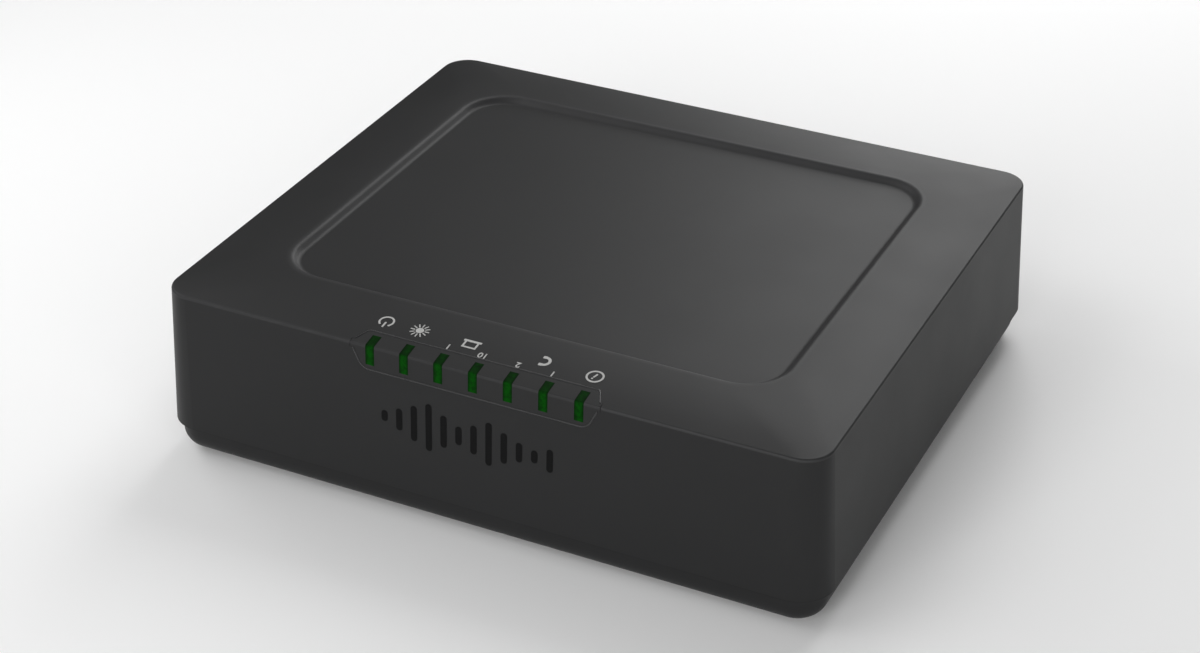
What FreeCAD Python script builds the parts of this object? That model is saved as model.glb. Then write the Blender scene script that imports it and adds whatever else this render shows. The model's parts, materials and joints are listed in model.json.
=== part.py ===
import FreeCAD, Part
import math
import os
import Sketcher

# Optical network terminal: a flat desktop or wall-mounted box that ends a fibre line.
# Frame: millimetres, +Z up, origin on the table plane under the middle of the case.
# The light strip faces -Y, the sockets face +Y.  Every sub-part is modelled in place.

DOC = FreeCAD.newDocument("optical_network_terminal")
SHEET = DOC.addObject("Spreadsheet::Sheet", "Dimensions")

# Driving dimensions: name, value in mm (degrees where the name says angle), meaning.
DIMENSIONS = [
    ("case_width", 155.0, "cover across X at its lower edge"),
    ("case_depth", 135.0, "cover across Y at its lower edge"),
    ("case_corner", 8.0, "plan corner radius at the lower edge"),
    ("cover_height", 32.8, "cover wall from lower edge to top edge"),
    ("cover_wall", 2.4, "cover wall thickness"),
    ("roof_thickness", 2.2, "plastic under the recessed panel"),
    ("draft_angle", 3.0, "inward lean of the cover walls"),
    ("crown_rise", 1.6, "how far the rim climbs above the top edge"),
    ("crown_run", 16.0, "width of the crowned rim"),
    ("crown_corner", 12.0, "plan corner radius where the rim becomes flat"),
    ("edge_round", 0.5, "round on the top outer edge"),
    ("recess_margin", 17.6, "top edge to recess outline"),
    ("recess_depth", 1.35, "drop of the recessed panel"),
    ("recess_corner", 10.5, "plan corner radius of the recess"),
    ("recess_angle", 45.0, "lean of the recess wall from upright"),
    ("recess_round", 1.3, "rounds at lip and foot of the recess"),
    ("foot_drop", 1.0, "feet below the base"),
    ("base_height", 7.1, "visible height of the base tray"),
    ("base_inset", 1.34, "base set in from the cover edge"),
    ("base_round", 4.3, "round along the bottom edge"),
    ("base_floor", 2.4, "base floor thickness"),
    ("tongue_height", 2.4, "locating rim above the base"),
    ("tongue_thickness", 1.5, "locating rim thickness"),
    ("tongue_gap", 0.2, "gap between rim and cover wall"),
    ("foot_radius", 5.0, "rubber foot radius"),
    ("foot_thickness", 1.8, "rubber foot thickness"),
    ("foot_gap", 0.3, "room round a foot in its seat"),
    ("foot_inset_x", 17.5, "foot centre from the case side"),
    ("foot_inset_y", 13.5, "foot centre from the case front or rear"),
    ("case_screw_inset_x", 13.0, "case screw from the case side"),
    ("case_screw_inset_y", 27.0, "case screw from the case front or rear"),
    ("pillar_radius", 3.6, "screw pillars and cover bosses"),
    ("pillar_joint", 0.5, "pillar top above the cover lower edge"),
    ("boss_gap", 0.1, "air between pillar and boss"),
    ("case_screw_shank", 1.4, "case screw shank radius"),
    ("case_screw_head", 2.8, "case screw head radius"),
    ("case_screw_head_height", 2.0, "case screw head height"),
    ("case_screw_bite", 9.0, "screw length inside the cover boss"),
    ("screw_slack", 0.3, "clearance round a screw shank"),
    ("thread_gap", 0.05, "pilot hole over shank radius"),
    ("head_seat_radius", 3.2, "counterbore radius in the base"),
    ("head_seat_depth", 3.4, "counterbore depth in the base"),
    ("cross_width", 0.8, "width of a cross recess"),
    ("cross_reach", 1.2, "length of a cross recess over the head radius"),
    ("cross_depth", 1.1, "depth of a cross recess"),
    ("standoff_height", 6.0, "board above the base floor"),
    ("standoff_radius", 3.2, "board standoff radius"),
    ("standoff_inset_x", 24.5, "standoff from the case side"),
    ("standoff_front", 20.5, "front standoffs from the case front"),
    ("standoff_rear", 45.0, "rear standoffs from the case rear"),
    ("board_screw_shank", 1.1, "board screw shank radius"),
    ("board_screw_head", 2.3, "board screw head radius"),
    ("board_screw_head_height", 1.6, "board screw head height"),
    ("board_screw_bite", 4.5, "screw length inside the standoff"),
    ("board_thickness", 1.6, "circuit board thickness"),
    ("board_side", 5.2, "board edge from the case side and front"),
    ("board_rear", 6.2, "board edge from the case rear"),
    ("board_corner", 3.0, "board corner radius"),
    ("board_boss_hole", 4.4, "board hole round a cover boss"),
    ("wall_screw_spacing", 80.0, "between the two wall-mount keyholes"),
    ("keyhole_radius", 4.0, "keyhole entry radius"),
    ("keyhole_slot", 2.2, "half width of the keyhole slot"),
    ("keyhole_length", 8.0, "entry centre to slot end centre"),
    ("keyhole_box_wall", 1.2, "wall of the box behind a keyhole"),
    ("keyhole_box_height", 4.6, "room for a screw head behind a keyhole"),
    ("vent_count", 13, "cooling slots in the base"),
    ("vent_pitch", 5.0, "between cooling slots"),
    ("vent_width", 1.8, "cooling slot width"),
    ("vent_length", 20.0, "cooling slot length"),
    ("vent_front", 23.0, "cooling slots from the case front"),
    ("label_width", 56.0, "blank label across X"),
    ("label_depth", 30.0, "blank label across Y"),
    ("label_thickness", 0.15, "blank label thickness"),
    ("label_rear", 44.0, "blank label centre from the case rear"),
    ("light_count", 7, "status lights"),
    ("light_pitch", 8.0, "between status lights"),
    ("light_width", 2.1, "width of one light window"),
    ("light_back", 3.3, "window length on the top"),
    ("light_drop", 4.45, "window length down the front"),
    ("bezel_tip_end", 3.7, "strip beyond the outer windows at the edge"),
    ("bezel_back_end", 1.55, "strip beyond the outer windows on the top"),
    ("bezel_drop_end", 0.95, "strip beyond the outer windows on the front"),
    ("bezel_back", 4.65, "strip width on the top"),
    ("bezel_drop", 5.65, "strip width on the front"),
    ("bezel_back_round", 1.0, "strip corners on the top"),
    ("bezel_drop_round", 3.0, "strip corners on the front"),
    ("bezel_thickness", 1.2, "strip thickness"),
    ("bezel_gap", 0.1, "gap round the strip"),
    ("window_gap", 0.4, "room round the light pipes in the cover"),
    ("guide_gap", 0.0, "gap between a light window and the strip"),
    ("guide_bridge", 2.0, "bar that joins the light pipes"),
    ("guide_bridge_front", 4.3, "that bar from the case front"),
    ("guide_depth", 3.0, "light pipe size along Y"),
    ("guide_lift", 0.5, "light pipe above its light"),
    ("light_front", 7.6, "lights from the case front"),
    ("chip_light_length", 1.6, "light body along X"),
    ("chip_light_depth", 1.2, "light body along Y"),
    ("chip_light_height", 0.8, "light body height"),
    ("baffle_wall", 0.7, "light baffle wall"),
    ("baffle_height", 9.0, "light baffle height"),
    ("baffle_gap", 0.15, "room round a light pipe"),
    ("panel_face", 4.4, "rear panel face from the case rear"),
    ("panel_thickness", 1.6, "rear panel thickness"),
    ("panel_height", 25.0, "rear panel height above the base floor"),
    ("bay_side", 1.2, "port bay beyond the row of sockets"),
    ("panel_lap", 1.8, "rear panel beyond the port bay"),
    ("bay_height", 18.0, "port bay above the cover lower edge"),
    ("port_face", 3.4, "socket faces from the case rear"),
    ("port_gap", 0.3, "room round a socket in the panel"),
    ("reset_width", 4.0, "space for the reset hole"),
    ("reset_hole", 1.0, "reset pinhole radius"),
    ("small_space", 1.5, "between twin sockets"),
    ("middle_space", 3.0, "between socket groups"),
    ("large_space", 3.5, "between unlike sockets"),
    ("phone_width", 12.0, "telephone socket width"),
    ("phone_height", 11.8, "telephone socket height"),
    ("phone_depth", 14.5, "telephone socket depth"),
    ("phone_mouth_width", 9.9, "telephone plug opening width"),
    ("phone_mouth_height", 6.9, "telephone plug opening height"),
    ("phone_mouth_depth", 11.5, "telephone plug opening depth"),
    ("lan_width", 15.9, "data socket shield width"),
    ("lan_height", 13.4, "data socket shield height"),
    ("lan_depth", 16.2, "data socket shield depth"),
    ("lan_mouth_width", 11.9, "data plug opening width"),
    ("lan_mouth_height", 6.9, "data plug opening height"),
    ("lan_mouth_depth", 12.5, "data plug opening depth"),
    ("shield_metal", 0.3, "sheet metal thickness"),
    ("mouth_lift", 4.2, "plug opening above the board"),
    ("latch_width", 6.2, "latch notch width"),
    ("latch_drop", 1.7, "latch notch below the plug opening"),
    ("contact_size", 0.4, "contact wire thickness"),
    ("contact_pitch", 1.02, "between contact wires"),
    ("contact_length", 7.0, "contact wire length"),
    ("contact_root", 1.4, "contact wire held behind the plug opening"),
    ("contact_drop", 0.6, "contact wire foot below the opening's roof"),
    ("contact_angle", 14.0, "contact wire slope"),
    ("adapter_width", 12.8, "fibre adapter width"),
    ("adapter_height", 9.3, "fibre adapter height"),
    ("adapter_depth", 21.0, "fibre adapter depth"),
    ("adapter_mouth_width", 9.1, "fibre plug opening width"),
    ("adapter_mouth_height", 7.5, "fibre plug opening height"),
    ("adapter_mouth_depth", 14.5, "fibre plug opening depth"),
    ("adapter_key_width", 2.2, "key slot width"),
    ("sleeve_radius", 1.6, "ferrule sleeve outer radius"),
    ("sleeve_bore", 1.25, "ferrule sleeve bore radius"),
    ("sleeve_length", 11.4, "ferrule sleeve length"),
    ("sleeve_seat", 2.0, "sleeve length held in the adapter"),
    ("cap_gap", 0.2, "cap plug to adapter wall"),
    ("cap_bore", 2.4, "hole in the cap for the sleeve"),
    ("cap_plug", 8.0, "cap plug length"),
    ("cap_seat", 0.1, "air between cap flange and adapter"),
    ("cap_flange", 1.0, "cap flange thickness"),
    ("cap_flange_width", 11.4, "cap flange width"),
    ("cap_flange_height", 8.6, "cap flange height"),
    ("cap_grip", 2.0, "cap grip length"),
    ("cap_grip_thickness", 2.4, "cap grip thickness"),
    ("optics_width", 11.0, "optical transceiver width"),
    ("optics_height", 8.6, "optical transceiver height"),
    ("optics_depth", 14.0, "optical transceiver depth"),
    ("optics_nose", 2.75, "optical transceiver nose radius"),
    ("can_gap", 0.4, "room between transceiver and can"),
    ("power_width", 9.0, "power socket width"),
    ("power_height", 11.0, "power socket height"),
    ("power_depth", 14.0, "power socket depth"),
    ("power_bore", 3.15, "power socket bore radius"),
    ("power_bore_depth", 9.5, "power socket bore depth"),
    ("power_pin", 1.05, "power pin radius"),
    ("power_pin_inset", 1.0, "power pin tip inside the face"),
    ("power_pin_seat", 2.5, "power pin root held in the socket"),
    ("power_pin_root", 1.4, "power pin root radius"),
    ("power_axis", 6.2, "power bore above the board"),
    ("switch_width", 8.0, "power switch width"),
    ("switch_height", 8.4, "power switch height"),
    ("switch_depth", 10.0, "power switch depth"),
    ("switch_front", 3.2, "switch body behind the panel"),
    ("button_size", 6.0, "power button across"),
    ("button_flange", 7.6, "power button collar across"),
    ("button_flange_thickness", 0.8, "power button collar thickness"),
    ("button_gap", 0.3, "room round the power button"),
    ("button_proud", 3.2, "power button beyond the panel"),
    ("button_travel", 2.0, "power button travel"),
    ("button_stem", 3.0, "power button stem across"),
    ("button_stem_length", 2.6, "stem length inside the switch at rest"),
    ("button_round", 0.5, "rounds on the power button"),
    ("reset_body_width", 6.0, "reset switch width"),
    ("reset_body_height", 4.2, "reset switch height"),
    ("reset_body_depth", 3.6, "reset switch depth"),
    ("reset_front", 2.4, "reset switch behind the panel"),
    ("reset_plunger_width", 2.6, "reset plunger width"),
    ("reset_plunger_height", 1.6, "reset plunger height"),
    ("reset_proud", 1.0, "reset plunger beyond its switch"),
    ("reset_inside", 1.4, "reset plunger inside its switch"),
    ("reset_travel", 0.4, "reset plunger travel"),
    ("processor_size", 23.0, "main processor across"),
    ("processor_height", 1.8, "main processor height"),
    ("processor_x", -4.0, "main processor centre along X"),
    ("processor_rear", 58.0, "main processor from the case rear"),
    ("pad_size", 20.0, "thermal pad across"),
    ("pad_height", 1.0, "thermal pad height"),
    ("sink_width", 40.0, "heat sink across X"),
    ("sink_depth", 34.0, "heat sink across Y"),
    ("sink_base", 3.0, "heat sink base plate"),
    ("sink_fin_height", 9.0, "heat sink fin height"),
    ("sink_fin_count", 9, "heat sink fins"),
    ("sink_fin_thickness", 1.4, "heat sink fin thickness"),
    ("pin_inset", 3.5, "push pin from the heat sink edge"),
    ("pin_shank", 1.3, "push pin shank radius"),
    ("pin_head", 2.4, "push pin head radius"),
    ("pin_head_height", 1.2, "push pin head height"),
    ("pin_tail", 1.6, "push pin below the board"),
    ("capacitor_radius", 4.0, "electrolytic capacitor radius"),
    ("capacitor_height", 11.0, "electrolytic capacitor height"),
    ("capacitor_shift", 1.5, "capacitors beside the power socket's middle"),
    ("capacitor_first", 23.0, "nearer capacitor from the case rear"),
    ("capacitor_second", 33.0, "farther capacitor from the case rear"),
    ("passive_length", 1.6, "small surface part along X"),
    ("passive_depth", 0.8, "small surface part along Y"),
    ("passive_height", 0.6, "small surface part height"),
    ("passive_count", 11, "small surface parts in one row"),
    ("passive_pitch", 5.0, "between small surface parts"),
    ("passive_row", 26.0, "first row of them from the case front"),
    ("passive_rows", 3.0, "between their rows"),
]

# Plain rectangular parts on the board: node, case edge they are laid out from, places and
# the size across X, Y and Z, all in mm.  A place names what its X is counted from (a rear
# socket or the middle of the case), that X, and its distance from the case edge.
BLOCKS = [
    ("memory_chips", "rear", [("middle", -32.5, 54.0), ("middle", -32.5, 68.0)], (8.0, 12.0, 1.1)),
    ("flash_chip", "rear", [("middle", 28.0, 55.0)], (8.0, 6.0, 0.9)),
    ("network_chip", "rear", [("middle", 2.4, 34.8)], (10.0, 10.0, 1.0)),
    ("line_transformers", "rear", [("fast_lan", 0.0, 24.6), ("lan", 0.0, 24.6)], (14.0, 9.0, 5.2)),
    ("phone_line_chip", "rear", [("phone_1", -6.5, 24.0)], (9.0, 9.0, 0.9)),
    ("phone_transformers", "rear", [("phone_2", 1.0, 35.0), ("phone_1", -0.5, 35.0)], (9.0, 8.0, 8.0)),
    ("power_inductors", "front", [
        ("middle", -28.0, 18.0), ("middle", -19.0, 18.0), ("middle", -10.0, 18.0),
    ], (7.0, 7.0, 3.6)),
    ("power_chips", "front", [("middle", 8.0, 18.0), ("middle", 17.0, 18.0)], (5.0, 5.0, 0.9)),
    ("clock_crystals", "rear", [("middle", 22.0, 48.0), ("middle", 22.0, 62.0)], (3.2, 2.5, 0.8)),
]


class Size:
    """A number together with the sheet expression that gives it."""

    def __init__(self, text, value):
        self.text = text
        self.value = value

    def __add__(self, other):
        other = as_size(other)
        return Size(f"({self.text} + {other.text})", self.value + other.value)

    def __sub__(self, other):
        other = as_size(other)
        return Size(f"({self.text} - {other.text})", self.value - other.value)

    def __mul__(self, other):
        other = as_size(other)
        return Size(f"({self.text} * {other.text})", self.value * other.value)

    def __truediv__(self, other):
        other = as_size(other)
        return Size(f"({self.text} / {other.text})", self.value / other.value)

    def __neg__(self):
        return Size(f"(0 - {self.text})", -self.value)

    def __radd__(self, other):
        return as_size(other) + self

    def __rsub__(self, other):
        return as_size(other) - self

    def __rmul__(self, other):
        return as_size(other) * self


def as_size(value):
    """Plain numbers become constant expressions."""
    if isinstance(value, Size):
        return value
    return Size(f"({float(value):.6f})", float(value))


class Sheet:
    """Every named dimension as an attribute."""


def write_sheet():
    """Fill the spreadsheet and return its cells as named sizes."""
    rows = list(DIMENSIONS)
    for node, _, places, extent in BLOCKS:
        rows.append((f"{node}_length", extent[0], "body across X"))
        rows.append((f"{node}_depth", extent[1], "body across Y"))
        rows.append((f"{node}_height", extent[2], "body height"))
        for number, (_, x, distance) in enumerate(places):
            rows.append((f"{node}_x{number}_at", x, "centre along X"))
            rows.append((f"{node}_y{number}_at", distance, "centre from its edge"))
    named = Sheet()
    for row, (name, value, meaning) in enumerate(rows, start=1):
        SHEET.set(f"A{row}", name)
        SHEET.set(f"B{row}", str(value))
        SHEET.set(f"C{row}", meaning)
        SHEET.setAlias(f"B{row}", name)
        setattr(named, name, Size(f"Dimensions.{name}", float(value)))
    DOC.recompute()
    return named


D = write_sheet()

# Levels and edges that many sub-parts share.
RIGHT = D.case_width / 2
REAR = D.case_depth / 2
FRONT = -REAR
BASE_BOTTOM = D.foot_drop
FLOOR = BASE_BOTTOM + D.base_floor
COVER_BOTTOM = BASE_BOTTOM + D.base_height
EDGE = COVER_BOTTOM + D.cover_height
CROWN = EDGE + D.crown_rise
PANEL = CROWN - D.recess_depth
CEILING = PANEL - D.roof_thickness
BOARD_BOTTOM = FLOOR + D.standoff_height
BOARD_TOP = BOARD_BOTTOM + D.board_thickness
BOSS_BOTTOM = COVER_BOTTOM + D.pillar_joint + D.boss_gap
HEAD_SEAT = BASE_BOTTOM + D.head_seat_depth
SOCKET_FACE = REAR - D.port_face
PANEL_FACE = REAR - D.panel_face
PANEL_BACK = PANEL_FACE - D.panel_thickness

DRAFT_SLOPE = Size(
    "tan(Dimensions.draft_angle * 1deg)",
    math.tan(math.radians(D.draft_angle.value)),
)
DRAFT_INSET = D.cover_height * DRAFT_SLOPE
TOP_CORNER = D.case_corner - DRAFT_INSET
TOP_FRONT = FRONT + DRAFT_INSET
LIGHT_ROW = D.light_pitch * (D.light_count - 1) + D.light_width
BEYOND = 1.0  # mm that cutting tools run past the faces they open

NODES = []


# ---------------------------------------------------------------- small helpers

def node(label, item):
    """Give a finished sub-part its name and remember it for export."""
    item.Label = label
    NODES.append(item)
    return item


def centred(centre, width):
    """Low and high end of a span about its centre."""
    return centre - width / 2, centre + width / 2


def grown(ends, gap):
    """A span widened by the same gap at both ends."""
    return ends[0] - gap, ends[1] + gap


def box(name, x, y, z):
    """Box between the low and high ends given along each axis."""
    item = DOC.addObject("Part::Box", name)
    for side, axis, (low, high) in (("Length", "x", x), ("Width", "y", y), ("Height", "z", z)):
        low = as_size(low)
        item.setExpression(side, (as_size(high) - low).text)
        item.setExpression(f"Placement.Base.{axis}", low.text)
    return item


def upright_cylinder(name, x, y, z, radius):
    """Cylinder along Z between two levels."""
    item = DOC.addObject("Part::Cylinder", name)
    item.setExpression("Radius", as_size(radius).text)
    item.setExpression("Height", (as_size(z[1]) - z[0]).text)
    item.setExpression("Placement.Base.x", as_size(x).text)
    item.setExpression("Placement.Base.y", as_size(y).text)
    item.setExpression("Placement.Base.z", as_size(z[0]).text)
    return item


def level_cylinder(name, x, y, z, radius):
    """Cylinder along Y between two distances."""
    item = DOC.addObject("Part::Cylinder", name)
    item.Placement.Rotation = FreeCAD.Rotation(FreeCAD.Vector(1, 0, 0), -90)
    item.setExpression("Radius", as_size(radius).text)
    item.setExpression("Height", (as_size(y[1]) - y[0]).text)
    item.setExpression("Placement.Base.x", as_size(x).text)
    item.setExpression("Placement.Base.y", as_size(y[0]).text)
    item.setExpression("Placement.Base.z", as_size(z).text)
    return item


def group(name, items):
    """Several solids side by side in one object."""
    item = DOC.addObject("Part::Compound", name)
    item.Links = items
    return item


def fuse(name, items):
    """Solids joined into one."""
    item = DOC.addObject("Part::MultiFuse", name)
    item.Shapes = items
    item.Refine = True
    return item


def cut(name, base, tools):
    """Base less every tool; the tools may overlap."""
    tool = tools[0] if len(tools) == 1 else fuse(name + "_tools", tools)
    item = DOC.addObject("Part::Cut", name)
    item.Base = base
    item.Tool = tool
    item.Refine = True
    return item


def shared(name, first, second):
    """The space that two solids share."""
    item = DOC.addObject("Part::Common", name)
    item.Base = first
    item.Tool = second
    return item


def sketch(owner, name, role, level):
    """Empty sketch parallel to one of the body's own planes, at a level above it."""
    item = owner.newObject("Sketcher::SketchObject", name)
    planes = [plane for plane in owner.Origin.OriginFeatures if plane.Role == role]
    item.AttachmentSupport = [(planes[0], "")]
    item.MapMode = "FlatFace"
    item.setExpression("AttachmentOffset.Base.z", as_size(level).text)
    return item


def bind(item, constraint, label, size):
    """Add a sketch dimension that follows the sheet."""
    number = item.addConstraint(constraint)
    item.renameConstraint(number, label)
    item.setExpression(f"Constraints.{label}", as_size(size).text)


def rounded_rectangle(item, length, width, radius):
    """Rectangle with equal corner arcs, centred on the sketch origin."""
    first = item.GeometryCount
    a = length.value / 2
    b = width.value / 2
    r = radius.value
    corners = [(a - r, r - b, -90), (a - r, b - r, 0), (r - a, b - r, 90), (r - a, r - b, 180)]
    ends = [
        (r - a, -b), (a - r, -b), (a, r - b), (a, b - r),
        (a - r, b), (r - a, b), (-a, b - r), (-a, r - b),
    ]
    for start, stop in zip(ends[0::2], ends[1::2]):
        line = Part.LineSegment(FreeCAD.Vector(*start, 0), FreeCAD.Vector(*stop, 0))
        item.addGeometry(line, False)
    for x, y, turn in corners:
        circle = Part.Circle(FreeCAD.Vector(x, y, 0), FreeCAD.Vector(0, 0, 1), r)
        arc = Part.ArcOfCircle(circle, math.radians(turn), math.radians(turn + 90))
        item.addGeometry(arc, False)
    for side in range(4):
        arc = first + 4 + side
        after = first + (side + 1) % 4
        item.addConstraint(Sketcher.Constraint("Tangent", first + side, 2, arc, 1))
        item.addConstraint(Sketcher.Constraint("Tangent", arc, 2, after, 1))
    item.addConstraint(Sketcher.Constraint("Horizontal", first))
    item.addConstraint(Sketcher.Constraint("Horizontal", first + 2))
    item.addConstraint(Sketcher.Constraint("Vertical", first + 1))
    item.addConstraint(Sketcher.Constraint("Vertical", first + 3))
    item.addConstraint(Sketcher.Constraint("Equal", first + 4, first + 5))
    item.addConstraint(Sketcher.Constraint("Symmetric", first + 4, 3, first + 6, 3, -1, 1))
    across = Sketcher.Constraint("DistanceX", first + 3, 1, first + 1, 1, length.value)
    bind(item, across, f"length_{first}", length)
    along = Sketcher.Constraint("DistanceY", first, 1, first + 2, 1, width.value)
    bind(item, along, f"width_{first}", width)
    bind(item, Sketcher.Constraint("Radius", first + 4, r), f"radius_{first}", radius)


def circles(item, places, radius):
    """Equal circles with their centres given from the sketch origin."""
    radius = as_size(radius)
    for x, y in places:
        number = item.GeometryCount
        centre = FreeCAD.Vector(as_size(x).value, as_size(y).value, 0)
        item.addGeometry(Part.Circle(centre, FreeCAD.Vector(0, 0, 1), radius.value), False)
        from_x = Sketcher.Constraint("DistanceX", -1, 1, number, 3, centre.x)
        from_y = Sketcher.Constraint("DistanceY", -1, 1, number, 3, centre.y)
        bind(item, from_x, f"x_{number}", x)
        bind(item, from_y, f"y_{number}", y)
        bind(item, Sketcher.Constraint("Radius", number, radius.value), f"radius_{number}", radius)


def polygon(item, points):
    """Closed outline through points given from the sketch origin."""
    first = item.GeometryCount
    count = len(points)
    spots = [FreeCAD.Vector(as_size(x).value, as_size(y).value, 0) for x, y in points]
    for number in range(count):
        line = Part.LineSegment(spots[number], spots[(number + 1) % count])
        item.addGeometry(line, False)
    for number in range(count):
        after = first + (number + 1) % count
        item.addConstraint(Sketcher.Constraint("Coincident", first + number, 2, after, 1))
    for number, (x, y) in enumerate(points):
        line = first + number
        from_x = Sketcher.Constraint("DistanceX", -1, 1, line, 1, spots[number].x)
        from_y = Sketcher.Constraint("DistanceY", -1, 1, line, 1, spots[number].y)
        bind(item, from_x, f"x_{line}", x)
        bind(item, from_y, f"y_{line}", y)


def rectangle(item, x, y):
    """Sharp rectangle between the low and high ends given along each sketch axis."""
    polygon(item, [(x[0], y[0]), (x[1], y[0]), (x[1], y[1]), (x[0], y[1])])


def pad(owner, name, profile, length, reverse=False, lean=None):
    """Add material on one side of a sketch; a lean narrows it along the way."""
    item = owner.newObject("PartDesign::Pad", name)
    item.Profile = profile
    item.setExpression("Length", as_size(length).text)
    item.Reversed = reverse
    if lean is not None:
        item.setExpression("TaperAngle", (-lean).text)
    DOC.recompute()
    return item


def pocket(owner, name, profile, depth, reverse=False, lean=None):
    """Remove material on one side of a sketch, and make sure that some went."""
    before = owner.Shape.Volume
    item = owner.newObject("PartDesign::Pocket", name)
    item.Profile = profile
    item.setExpression("Length", as_size(depth).text)
    item.Reversed = reverse
    if lean is not None:
        item.setExpression("TaperAngle", (-lean).text)
    DOC.recompute()
    if owner.Shape.Volume > before - 0.001:
        raise RuntimeError(name + " removes nothing")
    return item


def level_edges(shape, level):
    """Names of the edges that lie flat at a level."""
    names = []
    for number, edge in enumerate(shape.Edges, start=1):
        bounds = edge.BoundBox
        if abs(bounds.ZMin - level) < 0.01 and abs(bounds.ZMax - level) < 0.01:
            names.append(f"Edge{number}")
    return names


def edges_at(shape, places):
    """Names of the straight edges seen end-on at places such as {"X": 3.0, "Y": 1.0}."""
    names = []
    for number, edge in enumerate(shape.Edges, start=1):
        bounds = edge.BoundBox
        for place in places:
            gaps = []
            for axis, value in place.items():
                gaps.append(abs(getattr(bounds, axis + "Min") - value))
                gaps.append(abs(getattr(bounds, axis + "Max") - value))
            if max(gaps) < 0.01:
                names.append(f"Edge{number}")
    return names


def round_edges(owner, name, base, names, radius):
    """Round the named edges of a feature."""
    item = owner.newObject("PartDesign::Fillet", name)
    item.Base = (base, names)
    item.setExpression("Radius", radius.text)
    DOC.recompute()
    return item


def row_of(owner, name, original, axis_role, count, length):
    """Repeat a feature along one of the body's own axes."""
    item = owner.newObject("PartDesign::LinearPattern", name)
    axes = [axis for axis in owner.Origin.OriginFeatures if axis.Role == axis_role]
    item.Originals = [original]
    item.Direction = (axes[0], [""])
    item.setExpression("Length", as_size(length).text)
    item.setExpression("Occurrences", as_size(count).text)
    owner.Tip = item
    DOC.recompute()
    return item


def at_corners(x, y):
    """The four mirror places of one point."""
    return [(x, y), (-x, y), (-x, -y), (x, -y)]


CASE_SCREWS = at_corners(RIGHT - D.case_screw_inset_x, REAR - D.case_screw_inset_y)
FEET = at_corners(RIGHT - D.foot_inset_x, REAR - D.foot_inset_y)
STANDOFF_X = RIGHT - D.standoff_inset_x
STANDOFFS = [
    (STANDOFF_X, REAR - D.standoff_rear),
    (-STANDOFF_X, REAR - D.standoff_rear),
    (-STANDOFF_X, FRONT + D.standoff_front),
    (STANDOFF_X, FRONT + D.standoff_front),
]


def light_places():
    """Centres of the status lights along X, left to right."""
    count = int(D.light_count.value)
    return [D.light_pitch * (number - (count - 1) / 2) for number in range(count)]


def port_places():
    """Centre of each rear socket along X, laid out from the +X end of the row."""
    row = [
        ("reset", D.reset_width, D.middle_space),
        ("phone_1", D.phone_width, D.small_space),
        ("phone_2", D.phone_width, D.middle_space),
        ("fast_lan", D.lan_width, D.small_space),
        ("lan", D.lan_width, D.large_space),
        ("fibre", D.adapter_width, D.large_space),
        ("power", D.power_width, D.large_space),
        ("switch", D.switch_width, as_size(0.0)),
    ]
    total = as_size(0.0)
    for _, width, space in row:
        total = total + width + space
    places = {}
    edge = total / 2
    for name, width, space in row:
        places[name] = edge - width / 2
        edge = edge - width - space
    return places, total


PORTS, PORT_ROW = port_places()
BAY_HALF = PORT_ROW / 2 + D.bay_side


# ---------------------------------------------------------------- the case

def cover_form():
    """Outside of the cover as a solid: leaning walls under a gently crowned rim."""
    body = DOC.addObject("PartDesign::Body", "cover_form")
    outline = sketch(body, "cover_outline", "XY_Plane", COVER_BOTTOM)
    rounded_rectangle(outline, D.case_width, D.case_depth, D.case_corner)
    pad(body, "cover_walls", outline, D.cover_height, lean=D.draft_angle)
    rings = []
    steps = 5
    for step in range(steps + 1):
        share = step / steps
        inset = DRAFT_INSET + D.crown_run * share
        rise = D.crown_rise * (1 - (1 - share) ** 2)
        corner = TOP_CORNER + (D.crown_corner - TOP_CORNER) * share
        ring = sketch(body, f"crown_ring_{step}", "XY_Plane", EDGE + rise)
        rounded_rectangle(ring, D.case_width - 2 * inset, D.case_depth - 2 * inset, corner)
        rings.append(ring)
    DOC.recompute()
    crown = body.newObject("PartDesign::AdditiveLoft", "crown")
    crown.Profile = rings[0]
    crown.Sections = rings[1:]
    DOC.recompute()
    rim = level_edges(crown.Shape, EDGE.value)
    round_edges(body, "top_edge_round", crown, rim, D.edge_round)
    return body


def cover_shell(form):
    """The form with its recessed panel, hollow inside and long screw bosses."""
    body = DOC.addObject("PartDesign::Body", "cover_shell")
    body.BaseFeature = form
    DOC.recompute()
    inset = DRAFT_INSET + D.recess_margin
    outline = sketch(body, "recess_outline", "XY_Plane", CROWN)
    rounded_rectangle(outline, D.case_width - 2 * inset, D.case_depth - 2 * inset, D.recess_corner)
    recess = pocket(body, "recess", outline, D.recess_depth, lean=D.recess_angle)
    lip = [name for name in level_edges(recess.Shape, CROWN.value) if is_inside(recess.Shape, name)]
    foot = level_edges(recess.Shape, PANEL.value)
    round_edges(body, "recess_rounds", recess, lip + foot, D.recess_round)
    inner = sketch(body, "cavity_outline", "XY_Plane", COVER_BOTTOM)
    twice = 2 * D.cover_wall
    corner = D.case_corner - D.cover_wall
    rounded_rectangle(inner, D.case_width - twice, D.case_depth - twice, corner)
    pocket(body, "cavity", inner, CEILING - COVER_BOTTOM, reverse=True, lean=D.draft_angle)
    for number, place in enumerate(CASE_SCREWS):
        spot = sketch(body, f"boss_spot_{number}", "XY_Plane", BOSS_BOTTOM)
        circles(spot, [place], D.pillar_radius)
        pad(body, f"boss_{number}", spot, CEILING - BOSS_BOTTOM + D.roof_thickness / 4)
    holes = sketch(body, "boss_holes", "XY_Plane", BOSS_BOTTOM)
    circles(holes, CASE_SCREWS, D.case_screw_shank + D.thread_gap)
    pocket(body, "boss_bores", holes, D.case_screw_bite + BEYOND, reverse=True)
    return body


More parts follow.
